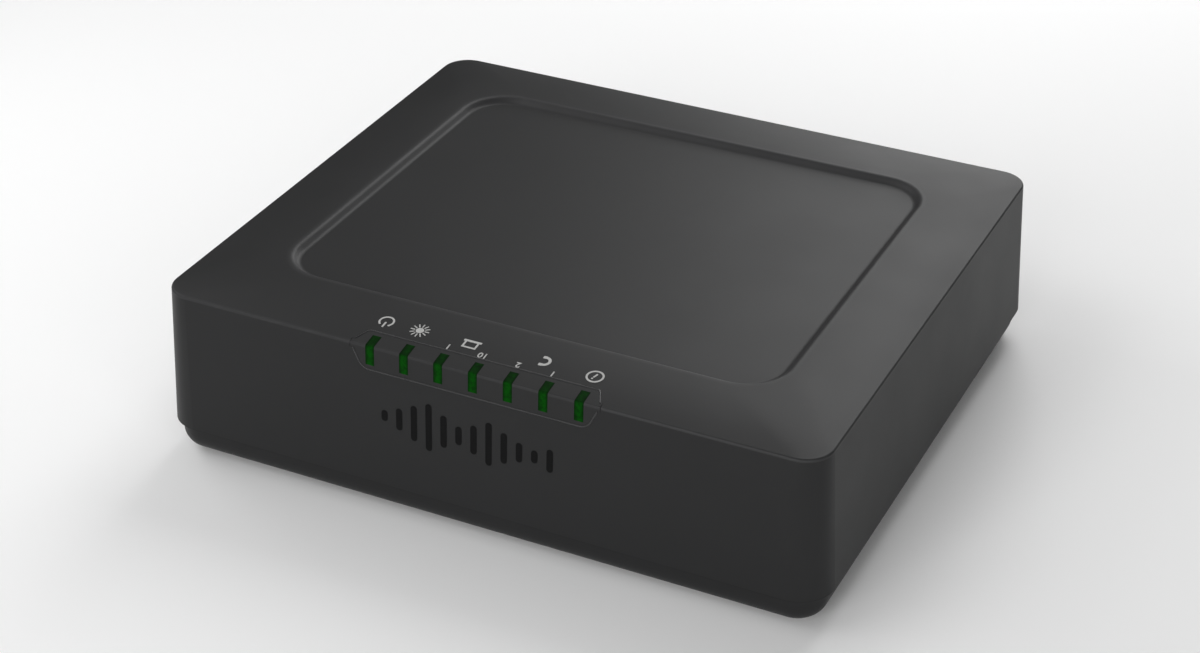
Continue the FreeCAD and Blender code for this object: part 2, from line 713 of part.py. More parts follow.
def is_inside(shape, name):
    """True for a top edge that belongs to the recess and not to the crown."""
    bounds = shape.getElement(name).BoundBox
    limit = (DRAFT_INSET + (D.crown_run + D.recess_margin) / 2).value
    middle = bounds.Center
    return abs(middle.x) < RIGHT.value - limit and abs(middle.y) < REAR.value - limit


def strip_block(name, gap):
    """Six-sided strip folded over the top front edge, thick enough to stand proud."""
    body = DOC.addObject("PartDesign::Body", name)
    outer = LIGHT_ROW / 2
    tip = outer + D.bezel_tip_end - gap
    top = sketch(body, name + "_top", "XY_Plane", EDGE - D.bezel_thickness)
    back = TOP_FRONT + D.bezel_back - gap
    half = outer + D.bezel_back_end - gap
    polygon(top, [
        (-tip, FRONT - BEYOND), (tip, FRONT - BEYOND), (tip, TOP_FRONT),
        (half, back), (-half, back), (-tip, TOP_FRONT),
    ])
    lid = pad(body, name + "_top_pad", top, D.bezel_thickness + D.crown_rise + BEYOND)
    corners = edges_at(lid.Shape, [{"X": side * half.value, "Y": back.value} for side in (1, -1)])
    round_edges(body, name + "_top_corners", lid, corners, D.bezel_back_round - gap)
    front = sketch(body, name + "_front", "XZ_Plane", -(TOP_FRONT + D.bezel_thickness))
    low = EDGE - D.bezel_drop + gap
    half = outer + D.bezel_drop_end - gap
    polygon(front, [
        (-half, low), (half, low), (tip, EDGE),
        (tip, EDGE + BEYOND), (-tip, EDGE + BEYOND), (-tip, EDGE),
    ])
    apron = pad(body, name + "_front_pad", front, DRAFT_INSET + D.bezel_thickness + BEYOND)
    corners = edges_at(apron.Shape, [{"X": side * half.value, "Z": low.value} for side in (1, -1)])
    round_edges(body, name + "_front_corners", apron, corners, D.bezel_drop_round - gap)
    return body


def light_window(name, x, gap):
    """Tool for one light window: over the edge and down the front."""
    return box(
        name,
        grown(centred(x, D.light_width), gap),
        (FRONT - BEYOND, TOP_FRONT + D.light_back + gap),
        (EDGE - D.light_drop - gap, CROWN + BEYOND),
    )


def case_parts():
    """Cover, light strip and light guide, cut from one outside form."""
    form = cover_form()
    shell = cover_shell(form)
    opening = box(
        "light_opening",
        grown(centred(as_size(0), LIGHT_ROW), D.window_gap),
        (FRONT - BEYOND, TOP_FRONT + D.light_back + D.window_gap),
        (EDGE - D.light_drop - D.window_gap, CROWN + BEYOND),
    )
    bay = box(
        "port_bay",
        (-BAY_HALF, BAY_HALF),
        (PANEL_BACK, REAR + BEYOND),
        (COVER_BOTTOM - BEYOND, COVER_BOTTOM + D.bay_height),
    )
    seat = strip_block("strip_seat", as_size(0))
    node("top_cover", cut("top_cover", shell, [opening, bay, seat]))

    strip = shared("strip_solid", form, strip_block("strip_block", D.bezel_gap))
    slots = []
    heads = []
    for number, x in enumerate(light_places()):
        slots.append(light_window(f"strip_slot_{number}", x, D.guide_gap))
        heads.append(light_window(f"window_{number}", x, as_size(0)))
    node("light_strip", cut("light_strip", strip, [group("strip_slots", slots)]))

    windows = shared("light_windows", form, group("window_tools", heads))
    node("light_guide", fuse("light_guide", [windows] + light_pipes()))


def light_pipes():
    """Upright pipes from the lights to the windows and the bar that joins them."""
    rear = FRONT + D.light_front + D.guide_depth / 2
    top = EDGE - D.light_drop + D.guide_bridge
    pipes = [box(
        "guide_bar",
        centred(as_size(0), LIGHT_ROW),
        (FRONT + D.guide_bridge_front, rear),
        (EDGE - D.light_drop, top),
    )]
    low = BOARD_TOP + D.chip_light_height + D.guide_lift
    for number, x in enumerate(light_places()):
        pipes.append(box(
            f"guide_pipe_{number}",
            centred(x, D.light_width),
            (rear - D.guide_depth, rear),
            (low, top),
        ))
    return pipes


def base_tray():
    """Lower tray: rounded bottom edge, locating rim, pillars, standoffs and keyholes."""
    body = DOC.addObject("PartDesign::Body", "base_tray")
    outline = sketch(body, "tray_outline", "XY_Plane", BASE_BOTTOM)
    twice = 2 * D.base_inset
    corner = D.case_corner - D.base_inset
    rounded_rectangle(outline, D.case_width - twice, D.case_depth - twice, corner)
    block = pad(body, "tray_block", outline, D.base_height)
    bottom = level_edges(block.Shape, BASE_BOTTOM.value)
    round_edges(body, "bottom_round", block, bottom, D.base_round)

    rim_outside = D.cover_wall + D.tongue_gap
    rim_inside = rim_outside + D.tongue_thickness
    hollow = sketch(body, "tray_hollow_outline", "XY_Plane", COVER_BOTTOM)
    inset_rectangle(hollow, rim_inside)
    pocket(body, "tray_hollow", hollow, D.base_height - D.base_floor)
    rim = sketch(body, "rim_outline", "XY_Plane", COVER_BOTTOM)
    inset_rectangle(rim, rim_outside)
    inset_rectangle(rim, rim_inside)
    pad(body, "rim", rim, D.tongue_height)

    for number, place in enumerate(CASE_SCREWS):
        spot = sketch(body, f"pillar_spot_{number}", "XY_Plane", FLOOR)
        circles(spot, [place], D.pillar_radius)
        pad(body, f"pillar_{number}", spot, COVER_BOTTOM + D.pillar_joint - FLOOR)
    for number, place in enumerate(STANDOFFS):
        spot = sketch(body, f"standoff_spot_{number}", "XY_Plane", FLOOR)
        circles(spot, [place], D.standoff_radius)
        pad(body, f"standoff_{number}", spot, D.standoff_height)
    keyholes(body)

    screw_way = sketch(body, "screw_ways", "XY_Plane", BASE_BOTTOM)
    circles(screw_way, CASE_SCREWS, D.case_screw_shank + D.screw_slack)
    pocket(body, "screw_way_bores", screw_way, D.base_height + D.pillar_joint, reverse=True)
    seats = sketch(body, "head_seats", "XY_Plane", BASE_BOTTOM)
    circles(seats, CASE_SCREWS, D.head_seat_radius)
    pocket(body, "head_seat_bores", seats, D.head_seat_depth, reverse=True)
    pilots = sketch(body, "standoff_pilots", "XY_Plane", BOARD_BOTTOM)
    circles(pilots, STANDOFFS, D.board_screw_shank + D.thread_gap)
    pocket(body, "standoff_bores", pilots, D.board_screw_bite + D.screw_slack)
    foot_seats = sketch(body, "foot_seats", "XY_Plane", BASE_BOTTOM)
    circles(foot_seats, FEET, D.foot_radius + D.foot_gap)
    pocket(body, "foot_seat_bores", foot_seats, D.foot_thickness - D.foot_drop, reverse=True)

    label_seat = sketch(body, "label_seat", "XY_Plane", BASE_BOTTOM)
    rectangle(label_seat, *label_span(D.foot_gap))
    pocket(body, "label_seat_cut", label_seat, label_depth_in_seat(), reverse=True)

    slot = sketch(body, "vent_outline", "XY_Plane", BASE_BOTTOM)
    first = -(D.vent_pitch * (D.vent_count - 1)) / 2
    start = FRONT + D.vent_front
    rectangle(slot, centred(first, D.vent_width), (start, start + D.vent_length))
    vent = pocket(body, "vent", slot, D.base_floor, reverse=True)
    row_of(body, "vents", vent, "X_Axis", D.vent_count, D.vent_pitch * (D.vent_count - 1))
    node("base_tray", body)


def inset_rectangle(item, inset):
    """The cover's lower outline, drawn a given distance inside."""
    twice = 2 * inset
    rounded_rectangle(item, D.case_width - twice, D.case_depth - twice, D.case_corner - inset)


def label_span(gap):
    """Ends of the label along X and Y, with room round it."""
    x = grown(centred(as_size(0), D.label_width), gap)
    y = grown(centred(REAR - D.label_rear, D.label_depth), gap)
    return x, y


def label_depth_in_seat():
    """The label lies a little below the bottom face."""
    return D.label_thickness * 2


def keyholes(body):
    """Two keyholes for wall screws, each with a closed box behind it."""
    wide = D.keyhole_radius + D.keyhole_box_wall
    for number, x in enumerate((D.wall_screw_spacing / 2, -D.wall_screw_spacing / 2)):
        block = sketch(body, f"keyhole_block_{number}", "XY_Plane", FLOOR)
        along = (-D.keyhole_length - wide, wide)
        rectangle(block, (x - wide, x + wide), along)
        pad(body, f"keyhole_box_{number}", block, D.keyhole_box_height + D.keyhole_box_wall)
        room = sketch(body, f"keyhole_room_{number}", "XY_Plane", FLOOR)
        along = (-D.keyhole_length - D.keyhole_radius, D.keyhole_radius)
        rectangle(room, (x - D.keyhole_radius, x + D.keyhole_radius), along)
        pocket(body, f"keyhole_room_cut_{number}", room, D.keyhole_box_height, reverse=True)
        entry = sketch(body, f"keyhole_entry_{number}", "XY_Plane", BASE_BOTTOM)
        circles(entry, [(x, as_size(0))], D.keyhole_radius)
        pocket(body, f"keyhole_entry_cut_{number}", entry, D.base_floor, reverse=True)
        slot = sketch(body, f"keyhole_slot_{number}", "XY_Plane", BASE_BOTTOM)
        rectangle(slot, (x - D.keyhole_slot, x + D.keyhole_slot), (-D.keyhole_length, as_size(0)))
        pocket(body, f"keyhole_slot_cut_{number}", slot, D.base_floor, reverse=True)
        tip = sketch(body, f"keyhole_tip_{number}", "XY_Plane", BASE_BOTTOM)
        circles(tip, [(x, -D.keyhole_length)], D.keyhole_slot)
        pocket(body, f"keyhole_tip_cut_{number}", tip, D.base_floor, reverse=True)


def rear_panel():
    """Flat panel behind the port bay with one window per socket."""
    half = BAY_HALF + D.panel_lap
    plate = box(
        "panel_plate",
        (-half, half),
        (PANEL_BACK, PANEL_FACE),
        (FLOOR, FLOOR + D.panel_height),
    )
    through = (PANEL_BACK - BEYOND, PANEL_FACE + BEYOND)
    windows = []
    for name, width, height in (
        ("phone_1", D.phone_width, D.phone_height),
        ("phone_2", D.phone_width, D.phone_height),
        ("fast_lan", D.lan_width, D.lan_height),
        ("lan", D.lan_width, D.lan_height),
        ("fibre", D.adapter_width, D.adapter_height),
        ("power", D.power_width, D.power_height),
    ):
        across = grown(centred(PORTS[name], width), D.port_gap)
        up = grown((BOARD_TOP, BOARD_TOP + height), D.port_gap)
        windows.append(box(f"{name}_window", across, through, up))
    across = grown(centred(PORTS["switch"], D.button_size), D.button_gap)
    up = grown(centred(BOARD_TOP + D.switch_height / 2, D.button_size), D.button_gap)
    windows.append(box("button_window", across, through, up))
    level = BOARD_TOP + D.reset_body_height / 2
    windows.append(level_cylinder("reset_hole", PORTS["reset"], through, level, D.reset_hole))
    node("rear_panel", cut("rear_panel", plate, [group("panel_windows", windows)]))


def case_fittings():
    """Rubber feet, blank label and the screws that close the case."""
    feet = []
    screws = []
    for number, (x, y) in enumerate(FEET):
        feet.append(upright_cylinder(f"foot_{number}", x, y, (0, D.foot_thickness), D.foot_radius))
    node("rubber_feet", group("rubber_feet", feet))
    x, y = label_span(as_size(0))
    top = BASE_BOTTOM + label_depth_in_seat()
    node("blank_label", box("blank_label", x, y, (top - D.label_thickness, top)))
    for number, (x, y) in enumerate(CASE_SCREWS):
        head = (HEAD_SEAT - D.case_screw_head_height, HEAD_SEAT)
        shank = (HEAD_SEAT, BOSS_BOTTOM + D.case_screw_bite)
        screws.append(screw(
            f"case_screw_{number}", x, y, head, D.case_screw_head, shank,
            D.case_screw_shank, (head[0] - BEYOND, head[0] + D.cross_depth),
        ))
    node("case_screws", group("case_screws", screws))


def screw(name, x, y, head, head_radius, shank, shank_radius, cross):
    """Cylinder-head screw with a cross recess."""
    solid = fuse(name + "_solid", [
        upright_cylinder(name + "_head", x, y, head, head_radius),
        upright_cylinder(name + "_shank", x, y, shank, shank_radius),
    ])
    arm = head_radius * D.cross_reach
    bars = fuse(name + "_cross", [
        box(name + "_bar_x", centred(x, arm), centred(y, D.cross_width), cross),
        box(name + "_bar_y", centred(x, D.cross_width), centred(y, arm), cross),
    ])
    return cut(name, solid, [bars])


# ---------------------------------------------------------------- the board

def sink_pins():
    """Places of the two push pins, on opposite corners of the heat sink."""
    centre = REAR - D.processor_rear
    x = D.sink_width / 2 - D.pin_inset
    y = D.sink_depth / 2 - D.pin_inset
    return [(D.processor_x + x, centre + y), (D.processor_x - x, centre - y)]


def main_board():
    """Circuit board with holes for screws, cover bosses and push pins."""
    body = DOC.addObject("PartDesign::Body", "main_board")
    outline = sketch(body, "board_outline", "XY_Plane", BOARD_BOTTOM)
    middle = (D.board_side - D.board_rear) / 2
    outline.setExpression("AttachmentOffset.Base.y", middle.text)
    width = D.case_width - 2 * D.board_side
    depth = D.case_depth - D.board_side - D.board_rear
    rounded_rectangle(outline, width, depth, D.board_corner)
    pad(body, "board_blank", outline, D.board_thickness)
    for name, places, radius in (
        ("screw_holes", STANDOFFS, D.board_screw_shank + D.screw_slack),
        ("boss_holes_in_board", CASE_SCREWS, D.board_boss_hole),
        ("pin_holes", sink_pins(), D.pin_shank + D.screw_slack),
    ):
        holes = sketch(body, name, "XY_Plane", BOARD_BOTTOM)
        circles(holes, places, radius)
        pocket(body, name + "_cut", holes, D.board_thickness, reverse=True)
    node("main_board", body)


def board_screws():
    """Screws that hold the board on its standoffs."""
    screws = []
    for number, (x, y) in enumerate(STANDOFFS):
        head = (BOARD_TOP, BOARD_TOP + D.board_screw_head_height)
        shank = (BOARD_BOTTOM - D.board_screw_bite, BOARD_TOP)
        screws.append(screw(
            f"board_screw_{number}", x, y, head, D.board_screw_head, shank,
            D.board_screw_shank, (head[1] - D.cross_depth, head[1] + BEYOND),
        ))
    node("board_screws", group("board_screws", screws))


def lights():
    """Surface lights and the black baffle that keeps their light apart."""
    y = FRONT + D.light_front
    chips = []
    cells = []
    room = D.guide_depth + 2 * D.baffle_gap
    top = BOARD_TOP + D.baffle_height
    for number, x in enumerate(light_places()):
        chips.append(box(
            f"light_{number}",
            centred(x, D.chip_light_length),
            centred(y, D.chip_light_depth),
            (BOARD_TOP, BOARD_TOP + D.chip_light_height),
        ))
        cells.append(box(
            f"baffle_cell_{number}",
            centred(x, D.light_width + 2 * D.baffle_gap),
            centred(y, room),
            (BOARD_TOP - BEYOND, top + BEYOND),
        ))
    node("status_lights", group("status_lights", chips))
    wall = box(
        "baffle_block",
        grown(centred(as_size(0), LIGHT_ROW), D.baffle_gap + D.baffle_wall),
        grown(centred(y, room), D.baffle_wall),
        (BOARD_TOP, top),
    )
    node("light_baffle", cut("light_baffle", wall, [group("baffle_cells", cells)]))


def contact_wires(name, x, mouth_back, mouth_top, count):
    """Spring wires that leave the back of a plug opening and slope down to its mouth."""
    wires = []
    for number in range(count):
        wire = DOC.addObject("Part::Box", f"{name}_{number}")
        offset = D.contact_pitch * (number - (count - 1) / 2)
        wire.Placement.Rotation = FreeCAD.Rotation(FreeCAD.Vector(1, 0, 0), 0)
        wire.setExpression("Placement.Rotation.Angle", (-D.contact_angle).text)
        wire.setExpression("Length", D.contact_size.text)
        wire.setExpression("Width", D.contact_length.text)
        wire.setExpression("Height", D.contact_size.text)
        wire.setExpression("Placement.Base.x", (x + offset - D.contact_size / 2).text)
        wire.setExpression("Placement.Base.y", (mouth_back - D.contact_root).text)
        wire.setExpression("Placement.Base.z", (mouth_top - D.contact_drop).text)
        wires.append(wire)
    return wires


def plug_socket(name, x, block, mouth_width, mouth_height, mouth_depth, count):
    """Moulded socket body and its contact wires for a latched plug."""
    face = block[1][1]
    mouth_low = BOARD_TOP + D.mouth_lift
    mouth_top = mouth_low + mouth_height
    wires = contact_wires(name + "_wire", x, face - mouth_depth, mouth_top, count)
    contacts = group(name + "_contacts", wires)
    mouth = box(
        name + "_mouth",
        centred(x, mouth_width),
        (face - mouth_depth, face + BEYOND),
        (mouth_low, mouth_top),
    )
    notch = box(
        name + "_notch",
        centred(x, D.latch_width),
        (face - mouth_depth, face + BEYOND),
        (mouth_low - D.latch_drop, mouth_low + BEYOND),
    )
    solid = box(name + "_block", *block)
    hollow = cut(name + "_hollow", solid, [mouth, notch])
    node(name + "_body", cut(name + "_body", hollow, [contacts]))
    return contacts


def lan_socket(name):
    """Shielded data socket: moulded body, sheet metal can, eight contacts."""
    x = PORTS[name]
    outer_x = centred(x, D.lan_width)
    outer_y = (SOCKET_FACE - D.lan_depth, SOCKET_FACE)
    top = BOARD_TOP + D.lan_height
    inner_x = grown(outer_x, -D.shield_metal)
    inner_y = grown(outer_y, -D.shield_metal)
    block = (inner_x, inner_y, (BOARD_TOP, top - D.shield_metal))
    contacts = plug_socket(
        name, x, block, D.lan_mouth_width, D.lan_mouth_height, D.lan_mouth_depth, 8,
    )
    node(name + "_contacts", contacts)
    can = box(name + "_can", outer_x, outer_y, (BOARD_TOP, top))
    inside = box(name + "_inside", inner_x, inner_y, (BOARD_TOP - BEYOND, top - D.shield_metal))
    low = BOARD_TOP + D.mouth_lift - D.latch_drop
    high = BOARD_TOP + D.mouth_lift + D.lan_mouth_height
    aperture = box(
        name + "_aperture",
        grown(centred(x, D.lan_mouth_width), D.shield_metal),
        (SOCKET_FACE - D.shield_metal - BEYOND, SOCKET_FACE + BEYOND),
        grown((low, high), D.shield_metal),
    )
    node(name + "_shield", cut(name + "_shield", can, [inside, aperture]))


def phone_sockets():
    """Two moulded telephone sockets; their contacts make one group."""
    groups = []
    for name in ("phone_1", "phone_2"):
        x = PORTS[name]
        block = (
            centred(x, D.phone_width),
            (SOCKET_FACE - D.phone_depth, SOCKET_FACE),
            (BOARD_TOP, BOARD_TOP + D.phone_height),
        )
        groups.append(plug_socket(
            name, x, block, D.phone_mouth_width, D.phone_mouth_height, D.phone_mouth_depth, 4,
        ))
    node("phone_contacts", group("phone_contacts", groups))


def fibre_socket():
    """Fibre adapter with its ferrule sleeve and lift-off dust cap."""
    x = PORTS["fibre"]
    axis = BOARD_TOP + D.adapter_height / 2
    back = SOCKET_FACE - D.adapter_depth
    mouth_back = SOCKET_FACE - D.adapter_mouth_depth
    block = box(
        "adapter_block",
        centred(x, D.adapter_width),
        (back, SOCKET_FACE),
        (BOARD_TOP, BOARD_TOP + D.adapter_height),
    )
    mouth = box(
        "adapter_mouth",
        centred(x, D.adapter_mouth_width),
        (mouth_back, SOCKET_FACE + BEYOND),
        centred(axis, D.adapter_mouth_height),
    )
    key = box(
        "adapter_key",
        centred(x, D.adapter_key_width),
        (mouth_back, SOCKET_FACE + BEYOND),
        (axis, BOARD_TOP + D.adapter_height + BEYOND),
    )
    sleeve_start = mouth_back - D.sleeve_seat
    seat = level_cylinder(
        "sleeve_seat", x, (sleeve_start, mouth_back + BEYOND), axis, D.sleeve_radius,
    )
    node("fibre_adapter", cut("fibre_adapter", block, [mouth, key, seat]))
    along = (sleeve_start, sleeve_start + D.sleeve_length)
    tube = level_cylinder("sleeve_tube", x, along, axis, D.sleeve_radius)
    bore = level_cylinder("sleeve_bore", x, grown(along, as_size(BEYOND)), axis, D.sleeve_bore)
    node("ferrule_sleeve", cut("ferrule_sleeve", tube, [bore]))

    plug = box(
        "cap_plug",
        grown(centred(x, D.adapter_mouth_width), -D.cap_gap),
        (SOCKET_FACE - D.cap_plug, SOCKET_FACE + D.cap_seat + D.cap_flange),
        grown(centred(axis, D.adapter_mouth_height), -D.cap_gap),
    )
    flange_face = SOCKET_FACE + D.cap_seat + D.cap_flange
    flange = box(
        "cap_flange",
        centred(x, D.cap_flange_width),
        (SOCKET_FACE + D.cap_seat, flange_face),
        centred(axis, D.cap_flange_height),
    )
    grip = box(
        "cap_grip",
        centred(x, D.cap_grip_thickness),
        (flange_face, flange_face + D.cap_grip),
        centred(axis, D.cap_flange_height),
    )
    hole = level_cylinder(
        "cap_hole", x, (SOCKET_FACE - D.cap_plug - BEYOND, SOCKET_FACE), axis, D.cap_bore,
    )
    cap = fuse("cap_solid", [plug, flange, grip])
    node("fibre_dust_cap", cut("fibre_dust_cap", cap, [hole]))


def optics():
    """Optical transceiver behind the adapter, under its own metal can."""
    x = PORTS["fibre"]
    axis = BOARD_TOP + D.adapter_height / 2
    front = SOCKET_FACE - D.adapter_depth
    wall_face = front - D.can_gap / 2
    wall_back = wall_face - D.shield_metal
    block_front = wall_back - D.can_gap
    block_x = centred(x, D.optics_width)
    block_y = (block_front - D.optics_depth, block_front)
    block_z = (BOARD_TOP, BOARD_TOP + D.optics_height)
    nose = level_cylinder(
        "optics_nose", x, (block_front, front), axis, D.optics_nose,
    )
    node("fibre_transceiver", fuse("fibre_transceiver", [
        box("optics_block", block_x, block_y, block_z), nose,
    ]))
    inner_x = grown(block_x, D.can_gap)
    inner_y = (block_y[0] - D.can_gap, wall_back)
    inner_top = block_z[1] + D.can_gap
    outer = box(
        "can_outer",
        grown(inner_x, D.shield_metal),
        (inner_y[0] - D.shield_metal, wall_face),
        (BOARD_TOP, inner_top + D.shield_metal),
    )
    inner = box("can_inner", inner_x, inner_y, (BOARD_TOP - BEYOND, inner_top))
    hole = level_cylinder(
        "can_hole", x, (wall_back - D.can_gap, wall_face + BEYOND), axis,
        D.optics_nose + D.can_gap,
    )
    node("optics_shield", cut("optics_shield", outer, [inner, hole]))


def power_socket():
    """Round power socket with its centre pin, which has a thicker root in the moulding."""
    x = PORTS["power"]
    axis = BOARD_TOP + D.power_axis
    block = box(
        "power_block",
        centred(x, D.power_width),
        (SOCKET_FACE - D.power_depth, SOCKET_FACE),
        (BOARD_TOP, BOARD_TOP + D.power_height),
    )
    bore_back = SOCKET_FACE - D.power_bore_depth
    bore = level_cylinder("power_bore", x, (bore_back, SOCKET_FACE + BEYOND), axis, D.power_bore)
    tip = SOCKET_FACE - D.power_pin_inset
    seat = (bore_back - D.power_pin_seat, bore_back)
    pin = node("power_pin", fuse("power_pin", [
        level_cylinder("power_pin_root", x, seat, axis, D.power_pin_root),
        level_cylinder("power_pin_shank", x, (bore_back, tip), axis, D.power_pin),
    ]))
    hollow = cut("power_hollow", block, [bore])
    node("power_socket_body", cut("power_socket_body", hollow, [pin]))


def power_switch():
    """Push switch body and the button that slides in it."""
    x = PORTS["switch"]
    axis = BOARD_TOP + D.switch_height / 2
    front = PANEL_BACK - D.switch_front
    stem = D.button_stem + 2 * D.button_gap
    depth = D.button_stem_length + D.button_travel + D.button_gap
    block = box(
        "switch_block",
        centred(x, D.switch_width),
        (front - D.switch_depth, front),
        (BOARD_TOP, BOARD_TOP + D.switch_height),
    )
    well = box("switch_well", centred(x, stem), (front - depth, front + BEYOND), centred(axis, stem))
    node("power_switch_body", cut("power_switch_body", block, [well]))

    body = DOC.addObject("PartDesign::Body", "power_button")
    collar_front = PANEL_BACK - D.button_gap
    collar_back = collar_front - D.button_flange_thickness
    face = PANEL_FACE + D.button_proud
    for name, across, low, high in (
        ("collar", D.button_flange, collar_back, collar_front),
        ("push", D.button_size, collar_front, face),
        ("stem", D.button_stem, front - D.button_stem_length, collar_back),
    ):
        outline = sketch(body, name + "_outline", "XZ_Plane", -high)
        rectangle(outline, centred(x, across), centred(axis, across))
        last = pad(body, name, outline, high - low)
    rim = []
    for number, edge in enumerate(last.Shape.Edges, start=1):
        if abs(edge.BoundBox.YMin - face.value) < 0.01:
            rim.append(f"Edge{number}")
    round_edges(body, "push_round", last, rim, D.button_round)
    node("power_button", body)


def reset_switch():
    """Small side-push switch reached through the pinhole."""
    x = PORTS["reset"]
    axis = BOARD_TOP + D.reset_body_height / 2
    front = PANEL_BACK - D.reset_front
    block = box(
        "reset_block",
        centred(x, D.reset_body_width),
        (front - D.reset_body_depth, front),
        (BOARD_TOP, BOARD_TOP + D.reset_body_height),
    )
    across = centred(x, D.reset_plunger_width)
    up = centred(axis, D.reset_plunger_height)
    depth = D.reset_inside + D.reset_travel + D.button_gap
    well = box(
        "reset_well",
        grown(across, D.button_gap),
        (front - depth, front + BEYOND),
        grown(up, D.button_gap),
    )
    node("reset_switch_body", cut("reset_switch_body", block, [well]))
    along = (front - D.reset_inside, front + D.reset_proud)
    node("reset_button", box("reset_button", across, along, up))


def cooling():
    """Main processor, thermal pad, finned heat sink and its push pins."""
    x = D.processor_x
    y = REAR - D.processor_rear
    pad_bottom = BOARD_TOP + D.processor_height
    sink_bottom = pad_bottom + D.pad_height
    across = centred(x, D.processor_size)
    node("processor", box(
        "processor", across, centred(y, D.processor_size), (BOARD_TOP, pad_bottom),
    ))
    node("thermal_pad", box(
        "thermal_pad", centred(x, D.pad_size), centred(y, D.pad_size), (pad_bottom, sink_bottom),
    ))

    body = DOC.addObject("PartDesign::Body", "heat_sink")
    plate = sketch(body, "sink_outline", "XY_Plane", sink_bottom)
    sink_x = centred(x, D.sink_width)
    sink_y = centred(y, D.sink_depth)
    rectangle(plate, sink_x, sink_y)
    pad(body, "sink_plate", plate, D.sink_base)
    fin_outline = sketch(body, "fin_outline", "XY_Plane", sink_bottom + D.sink_base)
    rectangle(fin_outline, (sink_x[0], sink_x[0] + D.sink_fin_thickness), sink_y)
    fin = pad(body, "fin", fin_outline, D.sink_fin_height)
    row_of(body, "fins", fin, "X_Axis", D.sink_fin_count, D.sink_width - D.sink_fin_thickness)
    clear = D.pin_inset + D.pin_head + D.screw_slack
    for number, (px, py) in enumerate(sink_pins()):
        room = sketch(body, f"pin_room_{number}", "XY_Plane", sink_bottom + D.sink_base)
        rectangle(room, centred(px, 2 * clear), centred(py, 2 * clear))
        pocket(body, f"pin_room_cut_{number}", room, D.sink_fin_height, reverse=True)
    holes = sketch(body, "sink_pin_holes", "XY_Plane", sink_bottom)
    circles(holes, sink_pins(), D.pin_shank + D.screw_slack)
    pocket(body, "sink_pin_holes_cut", holes, D.sink_base, reverse=True)
    node("heat_sink", body)

    pins = []
    top = sink_bottom + D.sink_base
    for number, (px, py) in enumerate(sink_pins()):
        pins.append(fuse(f"push_pin_{number}", [
            upright_cylinder(f"pin_head_{number}", px, py, (top, top + D.pin_head_height), D.pin_head),
            upright_cylinder(f"pin_shank_{number}", px, py, (BOARD_BOTTOM - D.pin_tail, top), D.pin_shank),
        ]))
    node("heat_sink_pins", group("heat_sink_pins", pins))


def board_blocks():
    """Rectangular parts soldered on the board."""
    edges = {"rear": (REAR, -1.0), "front": (FRONT, 1.0)}
    middles = dict(PORTS, middle=as_size(0))
    for name, edge, places, _ in BLOCKS:
        start, sign = edges[edge]
        solids = []
        for number, (anchor, _, _) in enumerate(places):
            x = middles[anchor] + getattr(D, f"{name}_x{number}_at")
            y = start + sign * getattr(D, f"{name}_y{number}_at")
            solids.append(box(
                f"{name}_{number}",
                centred(x, getattr(D, f"{name}_length")),
                centred(y, getattr(D, f"{name}_depth")),
                (BOARD_TOP, BOARD_TOP + getattr(D, f"{name}_height")),
            ))
        node(name, solids[0] if len(solids) == 1 else group(name, solids))


def round_and_small_parts():
    """Electrolytic capacitors and the smallest surface parts."""
    cans = []
    for number, distance in enumerate((D.capacitor_first, D.capacitor_second)):
        level = (BOARD_TOP, BOARD_TOP + D.capacitor_height)
        cans.append(upright_cylinder(
            f"capacitor_{number}", PORTS["power"] + D.capacitor_shift, REAR - distance, level,
            D.capacitor_radius,
        ))
    node("capacitors", group("capacitors", cans))
    chips = []
    for row in range(2):
        y = FRONT + D.passive_row + D.passive_rows * row
        for number in range(int(D.passive_count.value)):
            x = D.passive_pitch * (number - (D.passive_count - 1) / 2)
            chips.append(box(
                f"passive_{row}_{number}",
                centred(x, D.passive_length),
                centred(y, D.passive_depth),
                (BOARD_TOP, BOARD_TOP + D.passive_height),
            ))
    node("surface_parts", group("surface_parts", chips))


# ---------------------------------------------------------------- build and write

def check_and_write():
    """Refuse anything invalid, then write one file per node."""
    os.makedirs("parts", exist_ok=True)
    DOC.recompute()
    for item in DOC.Objects:
        if "Invalid" in item.State or "Error" in item.State:
            raise RuntimeError(f"{item.Name}: {item.State}")
    for item in NODES:
        if item.Shape.isNull() or not item.Shape.isValid() or not item.Shape.Solids:
            raise RuntimeError(item.Label + " has no valid solid")
        item.Shape.exportStep(f"parts/{item.Label}.step")
        print(f"{item.Label}: {len(item.Shape.Solids)} solids, {item.Shape.Volume:.1f} mm3")


case_parts()
base_tray()
rear_panel()
case_fittings()
main_board()
board_screws()
lights()
lan_socket("lan")
lan_socket("fast_lan")
phone_sockets()
fibre_socket()
optics()
power_socket()
power_switch()
reset_switch()
cooling()
board_blocks()
round_and_small_parts()
check_and_write()
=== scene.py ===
# %% [markdown]
# # An optical network terminal
# A flat dark box that sits at the end of a fibre line. The CAD part gives every
# solid in its true place. This lesson lights it, gives the solids their plastics
# and metals, prints the symbols, and remakes the small moulded and pressed pieces
# whose rounded edges are quicker to shape in a mesh.

# %% Load the frame
import json
import math

